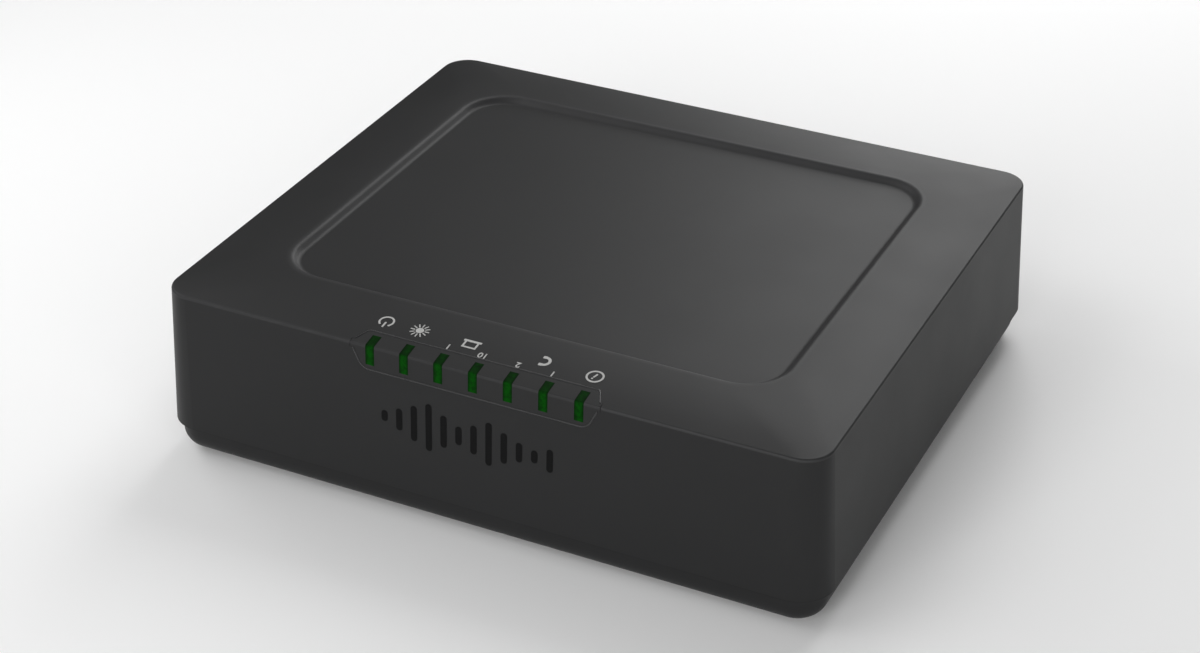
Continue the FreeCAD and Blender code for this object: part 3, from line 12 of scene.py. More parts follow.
import bmesh
import bpy
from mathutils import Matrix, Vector

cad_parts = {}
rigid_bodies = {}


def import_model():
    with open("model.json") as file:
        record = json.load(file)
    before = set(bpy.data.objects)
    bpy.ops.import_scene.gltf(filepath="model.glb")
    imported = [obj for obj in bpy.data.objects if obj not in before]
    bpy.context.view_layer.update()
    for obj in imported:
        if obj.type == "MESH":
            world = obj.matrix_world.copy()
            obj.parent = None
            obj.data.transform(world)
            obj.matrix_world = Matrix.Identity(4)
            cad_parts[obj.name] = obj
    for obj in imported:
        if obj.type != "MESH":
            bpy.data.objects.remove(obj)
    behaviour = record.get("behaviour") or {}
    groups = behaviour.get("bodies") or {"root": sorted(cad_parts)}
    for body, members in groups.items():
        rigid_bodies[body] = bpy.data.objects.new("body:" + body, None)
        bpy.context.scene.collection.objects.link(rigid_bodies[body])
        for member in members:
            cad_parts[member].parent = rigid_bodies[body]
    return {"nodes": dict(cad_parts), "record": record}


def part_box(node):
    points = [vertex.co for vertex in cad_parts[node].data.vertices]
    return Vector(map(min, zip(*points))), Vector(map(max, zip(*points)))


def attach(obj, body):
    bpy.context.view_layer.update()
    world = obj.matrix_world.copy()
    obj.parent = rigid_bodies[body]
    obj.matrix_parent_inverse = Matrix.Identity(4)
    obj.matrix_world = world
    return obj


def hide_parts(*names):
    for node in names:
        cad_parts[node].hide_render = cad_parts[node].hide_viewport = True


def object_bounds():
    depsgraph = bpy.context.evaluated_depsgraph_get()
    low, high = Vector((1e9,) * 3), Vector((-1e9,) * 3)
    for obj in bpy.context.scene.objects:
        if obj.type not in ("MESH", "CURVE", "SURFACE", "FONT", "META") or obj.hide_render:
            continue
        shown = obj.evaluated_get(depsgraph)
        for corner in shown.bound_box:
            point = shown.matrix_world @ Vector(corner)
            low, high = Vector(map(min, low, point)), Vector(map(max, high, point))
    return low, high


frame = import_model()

cad_low, cad_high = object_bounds()
mm = 0.001
print("the case measures", [round(side / mm, 1) for side in cad_high - cad_low], "mm")

# %% [markdown]
# ## Camera
# The camera stands in front of the right-hand corner and looks down at about 31
# degrees. A long lens keeps the far edges nearly parallel, as for a catalogue view.

# %% Place the camera
view_azimuth = math.radians(25.88)
view_elevation = math.radians(31.26)
view_distance = 540 * mm
aim = Vector((0.9 * mm, -8.6 * mm, 21.0 * mm))


def direction(azimuth, elevation):
    """Unit vector towards a place round the case; azimuth 0 is in front of it."""
    return Vector((
        math.sin(azimuth) * math.cos(elevation),
        -math.cos(azimuth) * math.cos(elevation),
        math.sin(elevation),
    ))


back = direction(view_azimuth, view_elevation)
camera_data = bpy.data.cameras.new("studio_camera")
camera_data.lens = 72.3
camera_data.sensor_width = 36.0
camera_data.clip_start = 0.01
camera = bpy.data.objects.new("studio_camera", camera_data)
bpy.context.scene.collection.objects.link(camera)
camera.location = aim + back * view_distance
camera.rotation_euler = back.to_track_quat("Z", "Y").to_euler()
bpy.context.scene.camera = camera
print("camera at", [round(c, 3) for c in camera.location])

# %% [markdown]
# ## Studio
# A dark case on a pale table needs light that skims it. Two soft panels behind the
# case put the slow sheen on its top, brighter towards the rear right. One in front
# keeps the light strip readable, and small ones at the sides hold the corners. A
# faint white sky fills what is left.

# %% Helpers that keep selections tidy
def deselect_all():
    """Start every modelling step with nothing selected."""
    for item in bpy.context.scene.objects:
        item.select_set(False)


def take_active(name):
    """Name the object that an operator has just added."""
    made = bpy.context.active_object
    made.name = name
    made.data.name = name
    return made


# %% Floor, sky and panels
deselect_all()
bpy.ops.mesh.primitive_plane_add(size=8.0, location=(0, 0, 0))
floor = take_active("studio_floor")

floor_finish = bpy.data.materials.new("floor_paper")
floor_finish.use_nodes = True
floor_shader = floor_finish.node_tree.nodes["Principled BSDF"]
floor_shader.inputs["Base Color"].default_value = (0.96, 0.96, 0.96, 1)
floor_shader.inputs["Roughness"].default_value = 0.9
floor.data.materials.append(floor_finish)

sky = bpy.data.worlds.new("studio_sky")
sky.use_nodes = True
sky.node_tree.nodes["Background"].inputs["Color"].default_value = (1.0, 1.0, 1.0, 1)
sky.node_tree.nodes["Background"].inputs["Strength"].default_value = 0.113
bpy.context.scene.world = sky

middle = Vector((0, 0, 30 * mm))


def light_panel(name, azimuth, elevation, distance, size, power):
    """Square soft light that faces the middle of the case."""
    data = bpy.data.lights.new(name, "AREA")
    data.shape = "SQUARE"
    data.size = size
    data.energy = power
    panel = bpy.data.objects.new(name, data)
    bpy.context.scene.collection.objects.link(panel)
    away = direction(math.radians(azimuth), math.radians(elevation))
    panel.location = middle + away * distance
    panel.rotation_euler = away.to_track_quat("Z", "Y").to_euler()


# Distance from the case and side of the square, in metres.
far = (0.7, 0.4)
near = (0.38, 0.2)
# Azimuth and elevation in degrees, power in watts.
panels = {
    "front_panel": (0, 20, *far, 1.96),
    "rear_high_panel": (180, 50, *far, 1.55),
    "rear_low_panel": (180, 20, *far, 1.24),
    "left_front_panel": (315, 50, *far, 0.97),
    "right_front_panel": (45, 20, *far, 0.98),
    "left_rear_panel": (225, 50, *far, 0.28),
    "left_near_panel": (270, 35, *near, 0.29),
    "rear_near_panel": (180, 35, *near, 0.09),
}
for panel_name, setting in panels.items():
    light_panel(panel_name, *setting)
print(len(panels), "panels lit")
bpy.context.scene.view_settings.view_transform = "Standard"

# %% [markdown]
# ## Moulded plastics
# The case is moulded in a tool whose faces were spark eroded, so it carries a fine
# matt grain about a tenth of a millimetre across. Two noises do this: a fine one
# for the bump and a slow one that shifts colour and gloss a little, as real
# mouldings do. Constant numbers sit on the shader's own sockets.

# %% A recipe for moulded plastic
def new_finish(name):
    """Material with its shader and a source of object coordinates."""
    finish = bpy.data.materials.new(name + "_finish")
    finish.use_nodes = True
    tree = finish.node_tree
    shader = tree.nodes["Principled BSDF"]
    place = tree.nodes.new("ShaderNodeTexCoord")
    return finish, tree, shader, place.outputs["Object"]


def noise_at(tree, place, feature, detail=3.0):
    """Noise whose lumps are about one feature size across."""
    noise = tree.nodes.new("ShaderNodeTexNoise")
    noise.inputs["Scale"].default_value = 1.0 / feature
    noise.inputs["Detail"].default_value = detail
    tree.links.new(place, noise.inputs["Vector"])
    return noise.outputs["Fac"]


def between(tree, amount, low, high, start=0.3, stop=0.7):
    """Number between two ends as a pattern goes from start to stop."""
    span = tree.nodes.new("ShaderNodeMapRange")
    span.inputs["From Min"].default_value = start
    span.inputs["From Max"].default_value = stop
    span.inputs["To Min"].default_value = low
    span.inputs["To Max"].default_value = high
    tree.links.new(amount, span.inputs["Value"])
    return span.outputs["Result"]


def two_tone(tree, amount, dark, light, start=0.3, stop=0.7):
    """Colour between two tones, driven by a pattern."""
    ramp = tree.nodes.new("ShaderNodeValToRGB")
    ramp.color_ramp.elements[0].position = start
    ramp.color_ramp.elements[1].position = stop
    ramp.color_ramp.elements[0].color = (*dark, 1)
    ramp.color_ramp.elements[1].color = (*light, 1)
    tree.links.new(amount, ramp.inputs["Fac"])
    return ramp.outputs["Color"]


def grain_bump(tree, shader, height, depth, strength):
    """Bump of a real depth on the shader."""
    bump = tree.nodes.new("ShaderNodeBump")
    bump.inputs["Strength"].default_value = strength
    bump.inputs["Distance"].default_value = depth
    tree.links.new(height, bump.inputs["Height"])
    tree.links.new(bump.outputs["Normal"], shader.inputs["Normal"])


def plastic(name, colour, gloss=(0.46, 0.50), grain=0.12 * mm, shift=0.04, level=0.5):
    """Moulded plastic: fine grain, slow drift of tone and of roughness."""
    finish, tree, shader, place = new_finish(name)
    slow = noise_at(tree, place, 18 * mm)
    dark = [part * (1 - shift) for part in colour]
    light = [part * (1 + shift) for part in colour]
    tree.links.new(two_tone(tree, slow, dark, light), shader.inputs["Base Color"])
    fine = noise_at(tree, place, grain, detail=2.0)
    tree.links.new(between(tree, slow, *gloss), shader.inputs["Roughness"])
    grain_bump(tree, shader, fine, 0.01 * mm, 0.35)
    shader.inputs["Specular IOR Level"].default_value = level
    return finish


finishes = {
    "case_plastic": plastic("case_plastic", (0.0132, 0.0134, 0.0138), level=0.236),
    "strip_plastic": plastic("strip_plastic", (0.0140, 0.0142, 0.0145), gloss=(0.42, 0.46), level=0.24),
    "black_plastic": plastic("black_plastic", (0.007, 0.007, 0.0075), gloss=(0.38, 0.46), level=0.3),
    "adapter_green": plastic("adapter_green", (0.008, 0.15, 0.045), gloss=(0.28, 0.34)),
    "cap_plastic": plastic("cap_plastic", (0.24, 0.25, 0.26), gloss=(0.40, 0.50)),
    "pin_white": plastic("pin_white", (0.55, 0.54, 0.50), gloss=(0.35, 0.45)),
    "chip_black": plastic("chip_black", (0.012, 0.012, 0.013), gloss=(0.50, 0.62), grain=0.06 * mm),
    "coil_grey": plastic("coil_grey", (0.05, 0.05, 0.055), gloss=(0.55, 0.65)),
    "capacitor_sleeve": plastic("capacitor_sleeve", (0.008, 0.011, 0.03), gloss=(0.22, 0.30)),
    "rubber": plastic("rubber", (0.010, 0.010, 0.010), gloss=(0.75, 0.85), grain=0.25 * mm, level=0.3),
    "pad_grey": plastic("pad_grey", (0.25, 0.28, 0.33), gloss=(0.6, 0.7)),
    "label_film": plastic("label_film", (0.50, 0.50, 0.49), gloss=(0.40, 0.46), grain=0.3 * mm),
    "sleeve_white": plastic("sleeve_white", (0.75, 0.74, 0.70), gloss=(0.12, 0.18)),
    "ceramic_part": plastic("ceramic_part", (0.32, 0.22, 0.13), gloss=(0.3, 0.4), shift=0.25),
    "light_chip": plastic("light_chip", (0.75, 0.74, 0.60), gloss=(0.25, 0.35)),
}
print(len(finishes), "plastics mixed")

# %% [markdown]
# ## Painted highlights on the edges and a painted shadow at the seam
# The small round along the top edge of the cover is painted a little lighter than the
# faces beside it, a painted highlight. The sloping wall of the recess is painted
# lighter too, a painted highlight, and the seam between cover and base holds a thin
# painted shadow line. A band blends a tone in where a measure is near zero: height
# over a level, or distance from the outline of the recess.

# %% A band of another tone
def combined(tree, operation, first, second):
    """Two values, sockets or numbers, through one sum."""
    node = tree.nodes.new("ShaderNodeMath")
    node.operation = operation
    for socket, value in zip(node.inputs, (first, second)):
        if isinstance(value, (int, float)):
            socket.default_value = value
        else:
            tree.links.new(value, socket)
    return node.outputs["Value"]


def painted_light_band(finish, measure, reach, tone):
    """Blend a tone of painted light or shade into a plastic where a measure of place is near zero."""
    tree = finish.node_tree
    shader = tree.nodes["Principled BSDF"]
    place = tree.nodes["Texture Coordinate"].outputs["Object"]
    away = combined(tree, "ABSOLUTE", measure(tree, place), 0.0)
    band = between(tree, away, 1.0, 0.0, reach * 0.4, reach)
    wander = between(tree, noise_at(tree, place, 7 * mm), 0.7, 1.0)
    amount = combined(tree, "MULTIPLY", band, wander)
    blend = tree.nodes.new("ShaderNodeMix")
    blend.data_type = "RGBA"
    colour_sockets = [socket for socket in blend.inputs if socket.type == "RGBA"]
    blended = [socket for socket in blend.outputs if socket.type == "RGBA"][0]
    colour_sockets[1].default_value = (*tone, 1)
    tree.links.new(shader.inputs["Base Color"].links[0].from_socket, colour_sockets[0])
    tree.links.new(amount, blend.inputs["Factor"])
    tree.links.new(blended, shader.inputs["Base Color"])


# %% Measures of place
def split_place(tree, place):
    """The three coordinates of a place."""
    node = tree.nodes.new("ShaderNodeSeparateXYZ")
    tree.links.new(place, node.inputs["Vector"])
    return node.outputs


def height_over(level):
    """Measure of height over a level."""
    return lambda tree, place: combined(tree, "SUBTRACT", split_place(tree, place)["Z"], level)


def distance_from_frame(half_x, half_y, corner):
    """Measure of distance outside a rounded rectangle round the middle."""
    def measure(tree, place):
        axes = split_place(tree, place)
        squares = []
        for axis, half in (("X", half_x), ("Y", half_y)):
            side = combined(tree, "ABSOLUTE", axes[axis], 0.0)
            beyond = combined(tree, "SUBTRACT", side, half - corner)
            kept = combined(tree, "MAXIMUM", beyond, 0.0)
            squares.append(combined(tree, "MULTIPLY", kept, kept))
        total = combined(tree, "ADD", squares[0], squares[1])
        return combined(tree, "SUBTRACT", combined(tree, "SQRT", total, 0.0), corner)
    return measure


# %% Painted highlights on the top edge and recess wall, painted shadow at the seam
cover_low, cover_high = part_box("top_cover")
crown_rise = 1.6 * mm
edge_level = cover_high.z - crown_rise
edge_inset = 1.72 * mm
edge_highlight_reach = 0.42 * mm
recess_margin = 17.6 * mm
recess_inset = edge_inset + recess_margin
wall_inset = recess_inset + 0.3 * mm
wall_corner = 10.2 * mm
wall_highlight_reach = 1.7 * mm
seam_shadow_reach = 0.5 * mm
# Masks for painted light and shade: highlight bands on the top edge and the recess wall, a shadow band
# at the seam.
top_edge_highlight = height_over(edge_level - 0.28 * mm)
seam_shadow = height_over(cover_low.z - 0.25 * mm)
recess_wall_highlight = distance_from_frame(
    cover_high.x - wall_inset, cover_high.y - wall_inset, wall_corner,
)
# Painted highlight: the sloping wall of the recess is painted lighter.
painted_light_band(finishes["case_plastic"], recess_wall_highlight, wall_highlight_reach, (0.030, 0.030, 0.031))
# Painted highlight: the round of the cover's top edge is painted lighter.
painted_light_band(finishes["case_plastic"], top_edge_highlight, edge_highlight_reach, (0.034, 0.034, 0.035))
# Painted shadow: a thin dark line painted where the cover meets the base.
painted_light_band(finishes["case_plastic"], seam_shadow, seam_shadow_reach, (0.0035, 0.0035, 0.0037))
# Painted highlight: the top edge of the light strip is painted lighter too.
painted_light_band(finishes["strip_plastic"], top_edge_highlight, edge_highlight_reach, (0.026, 0.026, 0.027))
print("recess outline", round(2 * (cover_high.x - recess_inset) / mm, 1), "mm wide")

# %% [markdown]
# ## Metals
# Plated sheet, cast and extruded metals all show fine lines or clouds from their
# making. A stretched noise gives the lines, and it also breaks up the gloss.

# %% A recipe for metal
def metal(name, colour, gloss=(0.22, 0.34), stretch=(1.0, 12.0, 1.0)):
    """Metal with fine drawn lines."""
    finish, tree, shader, place = new_finish(name)
    turn = tree.nodes.new("ShaderNodeMapping")
    turn.inputs["Scale"].default_value = stretch
    tree.links.new(place, turn.inputs["Vector"])
    lines = noise_at(tree, turn.outputs["Vector"], 0.8 * mm)
    dark = [part * 0.88 for part in colour]
    tree.links.new(two_tone(tree, lines, dark, colour), shader.inputs["Base Color"])
    tree.links.new(between(tree, lines, *gloss), shader.inputs["Roughness"])
    grain_bump(tree, shader, lines, 0.01 * mm, 0.2)
    shader.inputs["Metallic"].default_value = 1.0
    return finish


finishes["shield_tin"] = metal("shield_tin", (0.60, 0.60, 0.59))
finishes["screw_steel"] = metal("screw_steel", (0.42, 0.42, 0.43))
finishes["crystal_can"] = metal("crystal_can", (0.60, 0.60, 0.58))
finishes["optics_metal"] = metal("optics_metal", (0.55, 0.55, 0.56), gloss=(0.35, 0.48))
finishes["sink_aluminium"] = metal("sink_aluminium", (0.62, 0.63, 0.64), stretch=(12.0, 1.0, 1.0))
finishes["contact_gold"] = metal("contact_gold", (0.83, 0.60, 0.24))

# %% [markdown]
# ## Circuit board
# Solder mask over copper: the tracks lift the green mask a little and look
# lighter. A brick pattern stands for them.

# %% Board finish
def board_mask(name):
    """Green solder mask with tracks showing through."""
    finish, tree, shader, place = new_finish(name)
    tracks = tree.nodes.new("ShaderNodeTexBrick")
    tracks.inputs["Scale"].default_value = 1.0 / (6 * mm)
    tracks.inputs["Mortar Size"].default_value = 0.03
    tracks.inputs["Color1"].default_value = (0.010, 0.090, 0.040, 1)
    tracks.inputs["Color2"].default_value = (0.014, 0.110, 0.050, 1)
    tracks.inputs["Mortar"].default_value = (0.030, 0.190, 0.090, 1)
    tree.links.new(place, tracks.inputs["Vector"])
    tree.links.new(tracks.outputs["Color"], shader.inputs["Base Color"])
    cloud = noise_at(tree, place, 3 * mm)
    tree.links.new(between(tree, cloud, 0.22, 0.36), shader.inputs["Roughness"])
    grain_bump(tree, shader, tracks.outputs["Fac"], 0.04 * mm, 0.5)
    return finish


finishes["board_green"] = board_mask("board_green")

# %% [markdown]
# ## Light guide
# The seven windows are the ends of tinted clear pipes. Each is painted darker at its
# sides and lighter in the middle, painted light seen through the pipe, with a mottle of
# flow marks, and the part that faces forward is painted a brighter green than the
# part on top, a painted lit face. Distance from the nearest window's centre comes
# from the X coordinate, folded at the window spacing.

# %% Light guide finish
window_pitch = 8.0 * mm
window_half = 1.05 * mm
# The lighter green is painted light: the lit middle and front of each window.
deep_green = (0.0, 0.004, 0.0)
painted_lit_green = (0.0, 0.050, 0.0)


def tinted_guide(name):
    """Deep green clear plastic with painted darker borders, a painted lit front and flow marks."""
    finish, tree, shader, place = new_finish(name)
    axes = split_place(tree, place)
    # Painted light: each window lighter in the middle than at its sides, and lighter on its front than
    # on its top.
    off_centre = combined(tree, "PINGPONG", axes["X"], window_pitch / 2)
    clear = between(tree, off_centre, 1.0, 0.25, window_half * 0.35, window_half)
    fall = between(tree, axes["Z"], 1.0, 0.42, edge_level - 0.3 * mm, edge_level + 0.1 * mm)
    mottle = between(tree, noise_at(tree, place, 0.9 * mm, detail=4.0), 0.45, 1.35)
    shade = combined(tree, "MULTIPLY", combined(tree, "MULTIPLY", clear, fall), mottle)
    green = two_tone(tree, shade, deep_green, painted_lit_green, 0.0, 1.0)
    tree.links.new(green, shader.inputs["Base Color"])
    fine = noise_at(tree, place, 0.5 * mm)
    tree.links.new(between(tree, fine, 0.30, 0.42), shader.inputs["Roughness"])
    grain_bump(tree, shader, fine, 0.01 * mm, 0.2)
    shader.inputs["Specular IOR Level"].default_value = 0.04
    return finish


finishes["clear_guide"] = tinted_guide("clear_guide")

# %% [markdown]
# ## Printing inks
# Pad printing leaves a thin, slightly uneven film. The symbols are light grey and
# the emblem on the front is black on black, so it shows only by its lower tone.

# %% Inks
def ink(name, colour, gloss, level):
    """Printed film with small density changes."""
    finish, tree, shader, place = new_finish(name)
    cloud = noise_at(tree, place, 0.6 * mm, detail=5.0)
    dark = [part * 0.86 for part in colour]
    tree.links.new(two_tone(tree, cloud, dark, colour), shader.inputs["Base Color"])
    tree.links.new(between(tree, cloud, gloss, gloss + 0.08), shader.inputs["Roughness"])
    grain_bump(tree, shader, cloud, 0.01 * mm, 0.15)
    shader.inputs["Specular IOR Level"].default_value = level
    return finish


light_ink = ink("light_ink", (0.46, 0.46, 0.45), 0.5, 0.3)
dark_ink = ink("dark_ink", (0.0022, 0.0022, 0.0024), 0.42, 0.10)
grey_ink = ink("grey_ink", (0.10, 0.10, 0.10), 0.5, 0.3)

# %% [markdown]
# ## Finishes onto the CAD solids
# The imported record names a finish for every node. The solids keep their meshes and
# take only a new material.

# %% Assign finishes
node_finish = {part["node"]: part["material_slot"] for part in frame["record"]["subparts"]}
for name, solid in frame["nodes"].items():
    solid.data.materials.clear()
    solid.data.materials.append(finishes[node_finish[name]])
print(len(node_finish), "solids finished")

# %% [markdown]
# ## Marks printed on the case
# A mark starts as flat strips and arcs a little above the surface. It is dropped
# onto the cover by a shrinkwrap that projects straight down, or straight in, and
# then gets the thickness of the ink. Strips are planes whose corners are rounded by
# a vertex bevel. Arcs are one short edge spun round a centre.

# %% Strips, arcs and letters for marks
ink_lift = 0.015 * mm
ink_film = 0.05 * mm
draw_level = cad_high.z + 2 * mm
merge_gap = 0.001 * mm
size_over_height = 1.38


def strip(x, y, length, width, turn=0.0, round_off=0.0):
    """Flat bar centred at a place, turned about its centre, with rounded corners."""
    deselect_all()
    bpy.ops.mesh.primitive_plane_add(size=1.0, location=(x, y, draw_level), rotation=(0, 0, turn))
    bar = take_active("strip")
    bar.scale = (length, width, 1)
    bpy.ops.object.transform_apply(location=True, rotation=True, scale=True)
    bpy.ops.object.mode_set(mode="EDIT")
    bpy.ops.mesh.select_all(action="SELECT")
    if round_off:
        bpy.ops.mesh.bevel(offset=round_off, segments=4, affect="VERTICES")
    else:
        bpy.ops.mesh.subdivide(number_cuts=2)
    bpy.ops.object.mode_set(mode="OBJECT")
    return bar


def arc(x, y, radius, width, start, sweep, steps=28):
    """Flat arc: a short radial edge spun anticlockwise, seen from above.

    With no window the spin turns the other way, so its axis points down.
    """
    deselect_all()
    edge_x = x + radius * math.cos(start)
    edge_y = y + radius * math.sin(start)
    bpy.ops.mesh.primitive_plane_add(
        size=width, location=(edge_x, edge_y, draw_level), rotation=(0, 0, start),
    )
    ring = take_active("arc")
    bpy.ops.object.transform_apply(location=True, rotation=True, scale=True)
    bpy.ops.object.mode_set(mode="EDIT")
    bpy.ops.mesh.select_all(action="DESELECT")
    shape = bmesh.from_edit_mesh(ring.data)
    along = Vector((-math.sin(start), math.cos(start), 0))
    for vert in shape.verts:
        offset = vert.co - Vector((edge_x, edge_y, draw_level))
        vert.select_set(offset.dot(along) > 0)
    bmesh.update_edit_mesh(ring.data)
    bpy.ops.mesh.delete(type="VERT")
    bpy.ops.mesh.select_all(action="SELECT")
    bpy.ops.transform.translate(value=along * (width / 2))
    bpy.ops.mesh.spin(steps=steps, angle=sweep, center=(x, y, draw_level), axis=(0, 0, -1))
    bpy.ops.mesh.select_all(action="SELECT")
    bpy.ops.mesh.remove_doubles(threshold=merge_gap)
    bpy.ops.object.mode_set(mode="OBJECT")
    return ring


def disc(x, y, radius, sides=24):
    """Flat filled disc."""
    deselect_all()
    bpy.ops.mesh.primitive_circle_add(
        vertices=sides, radius=radius, fill_type="TRIFAN", location=(x, y, draw_level),
    )
    made = take_active("disc")
    bpy.ops.object.transform_apply(location=True, rotation=True, scale=True)
    return made


def digits(text, height):
    """Figures as a flat mesh, centred on the origin of the sheet."""
    deselect_all()
    bpy.ops.object.text_add(location=(0, 0, 0))
    made = take_active("digits")
    made.data.body = text
    made.data.size = height * size_over_height
    made.data.align_x = "CENTER"
    made.data.align_y = "CENTER"
    made.data.offset = 0.03 * height
    bpy.ops.object.convert(target="MESH")
    made = bpy.context.active_object
    made.location = (0, 0, draw_level)
    bpy.ops.object.transform_apply(location=True, rotation=True, scale=True)
    bpy.ops.object.mode_set(mode="EDIT")
    bpy.ops.mesh.select_all(action="SELECT")
    bpy.ops.mesh.remove_doubles(threshold=merge_gap)
    bpy.ops.object.mode_set(mode="OBJECT")
    return made


# %% [markdown]
# ## Putting a mark on the case
# Joining, turning and dropping are the same for every mark, so they are helpers. A
# mark drawn upright on the flat sheet can be turned to read from behind the case,
# as the symbols beside the lights do, or stood up against a wall.

# %% Join, turn and drop
def face_up(mark):
    """All faces of a flat mark look the same way, up from the sheet."""
    bpy.ops.object.mode_set(mode="EDIT")
    bpy.ops.mesh.select_all(action="DESELECT")
    shape = bmesh.from_edit_mesh(mark.data)
    shape.normal_update()
    for face in shape.faces:
        face.select_set(face.normal.z < 0)
    bmesh.update_edit_mesh(mark.data)
    bpy.ops.mesh.flip_normals()
    bpy.ops.object.mode_set(mode="OBJECT")


def joined(name, pieces):
    """One object from several flat pieces."""
    deselect_all()
    for piece in pieces:
        piece.select_set(True)
    bpy.context.view_layer.objects.active = pieces[0]
    if len(pieces) > 1:
        bpy.ops.object.join()
    mark = take_active(name)
    face_up(mark)
    return mark


def moved(mark, turn, place):
    """Turn a mark drawn about the origin, then carry it to its place."""
    deselect_all()
    mark.select_set(True)
    bpy.context.view_layer.objects.active = mark
    mark.rotation_euler = turn
    mark.location = place
    bpy.ops.object.transform_apply(location=True, rotation=True, scale=True)


def dropped(mark, onto, axis, finish, body="case"):
    """Project a mark onto a surface along one axis and give the ink its thickness."""
    deselect_all()
    mark.select_set(True)
    bpy.context.view_layer.objects.active = mark
    wrap = mark.modifiers.new("drop", "SHRINKWRAP")
    wrap.target = onto
    wrap.wrap_method = "PROJECT"
    wrap.wrap_mode = "ABOVE_SURFACE"
    wrap.use_project_x = False
    wrap.use_project_y = axis == "Y"
    wrap.use_project_z = axis == "Z"
    wrap.use_negative_direction = True
    wrap.use_positive_direction = True
    wrap.offset = ink_lift
    bpy.ops.object.modifier_apply(modifier=wrap.name)
    film = mark.modifiers.new("film", "SOLIDIFY")
    film.thickness = ink_film
    film.offset = 1.0
    bpy.ops.object.modifier_apply(modifier=film.name)
    mark.data.materials.clear()
    mark.data.materials.append(finish)
    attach(mark, body)
    return mark


# %% [markdown]
# ## Symbols beside the lights
# From left to right they stand for power, the fibre line, the network ports with
# their speeds in figures, the two telephone lines and general information. They
# read from behind the case. Each is drawn about the origin of the sheet and turned
# half round on its way to its place behind the strip.

# %% Symbols for the lights
rim_front = cover_low.y + edge_inset
top_cover = frame["nodes"]["top_cover"]
stroke = 0.42 * mm


def rim_mark(name, x, distance, pieces):
    """Drop a symbol on the front rim, readable from behind."""
    mark = joined(name, pieces)
    moved(mark, (0, 0, math.pi), (x, rim_front + distance, 0))
    dropped(mark, top_cover, "Z", light_ink)
    print(name, "is", round(mark.dimensions.x / mm, 2), "mm wide")


def power_symbol(size):
    """Broken ring with a bar in the gap."""
    radius = size / 2 - stroke / 2
    gap = math.radians(72)
    return [
        arc(0, 0, radius, stroke, math.pi / 2 + gap / 2, 2 * math.pi - gap),
        strip(0, radius * 0.72, stroke, size * 0.5, round_off=stroke * 0.3),
    ]


def sun_symbol(size):
    """Disc with rays, for light in the fibre."""
    pieces = [disc(0, 0, size * 0.2)]
    rays = 12
    for number in range(rays):
        turn = 2 * math.pi * number / rays
        reach = size * 0.37
        pieces.append(strip(
            reach * math.cos(turn), reach * math.sin(turn), size * 0.24, stroke * 0.62, turn,
        ))
    return pieces


def screen_symbol(size):
    """Screen frame with a thick foot, for the network ports."""
    width = size * 0.80
    height = size * 0.62
    low = -height / 2 + stroke * 0.6
    return [
        strip(0, height / 2 - stroke / 2, width, stroke),
        strip(-width / 2 + stroke / 2, stroke * 0.05, stroke, height - stroke * 2.0),
        strip(width / 2 - stroke / 2, stroke * 0.05, stroke, height - stroke * 2.0),
        strip(0, low, size, stroke * 1.4, round_off=stroke * 0.3),
    ]


def handset_symbol(size):
    """Telephone handset: a thick bow with an earpiece at each end."""
    radius = size * 0.36
    heavy = stroke * 1.5
    bow = math.radians(170)
    pieces = [arc(0, 0, radius, heavy, math.pi - bow / 2, bow)]
    for side in (1, -1):
        pieces.append(strip(
            size * 0.07, side * radius, size * 0.26, heavy * 1.25, round_off=stroke * 0.35,
        ))
    return pieces


def info_symbol(size):
    """Ring round a slanted stroke with a dot."""
    radius = size / 2 - stroke / 2
    lean = math.radians(72)
    return [
        arc(0, 0, radius, stroke, 0.0, 2 * math.pi, 36),
        strip(0, -size * 0.06, size * 0.34, stroke * 0.9, lean, round_off=stroke * 0.25),
        disc(size * 0.08, size * 0.2, stroke * 0.52, 12),
    ]


digit_height = 1.6 * mm
digit_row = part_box("light_strip")[1].y - rim_front + digit_height / 2 + 0.3 * mm
rim_mark("power_mark", -24.65 * mm, 8.3 * mm, power_symbol(3.5 * mm))
rim_mark("fibre_mark", -16.65 * mm, 8.15 * mm, sun_symbol(4.4 * mm))
rim_mark("slow_port_mark", -8.55 * mm, digit_row, [digits("1", digit_height)])
rim_mark("screen_mark", -4.6 * mm, 7.95 * mm, screen_symbol(4.1 * mm))
rim_mark("fast_port_mark", -0.55 * mm, digit_row, [digits("10", digit_height)])
rim_mark("line_two_mark", 7.55 * mm, digit_row, [digits("2", digit_height)])
rim_mark("handset_mark", 11.85 * mm, 8.7 * mm, handset_symbol(3.4 * mm))
rim_mark("line_one_mark", 15.35 * mm, digit_row, [digits("1", digit_height)])
rim_mark("info_mark", 23.65 * mm, 8.05 * mm, info_symbol(3.85 * mm))

# %% [markdown]
# ## Emblem on the front
# The front wall carries a plain pattern in black ink: a row of rounded bars whose
# heights rise and fall like a signal. One bar is drawn and rounded, and the others
# are the same step with another height. The wall leans, so each bar is stood up
# and pushed straight back onto it.

# %% Signal bars
front_wall = cover_low.y
bar_width = 1.45 * mm
bar_pitch = 3.5 * mm
bar_heights = [2.6, 5.2, 8.4, 11.2, 7.6, 4.4, 6.8, 10.2, 7.2, 4.6, 3.0, 5.4]
emblem_middle = Vector((-1.5 * mm, front_wall - 1 * mm, 25.3 * mm))


def wall_mark(name, pieces, place, turn, finish, onto=None, body="case"):
    """Stand a flat mark up and push it onto an upright wall."""
    mark = joined(name, pieces)
    bpy.ops.object.mode_set(mode="EDIT")
    bpy.ops.mesh.select_all(action="SELECT")
    bpy.ops.transform.translate(value=(0, 0, -draw_level))
    bpy.ops.object.mode_set(mode="OBJECT")
    moved(mark, turn, place)
    return dropped(mark, onto or top_cover, "Y", finish, body)


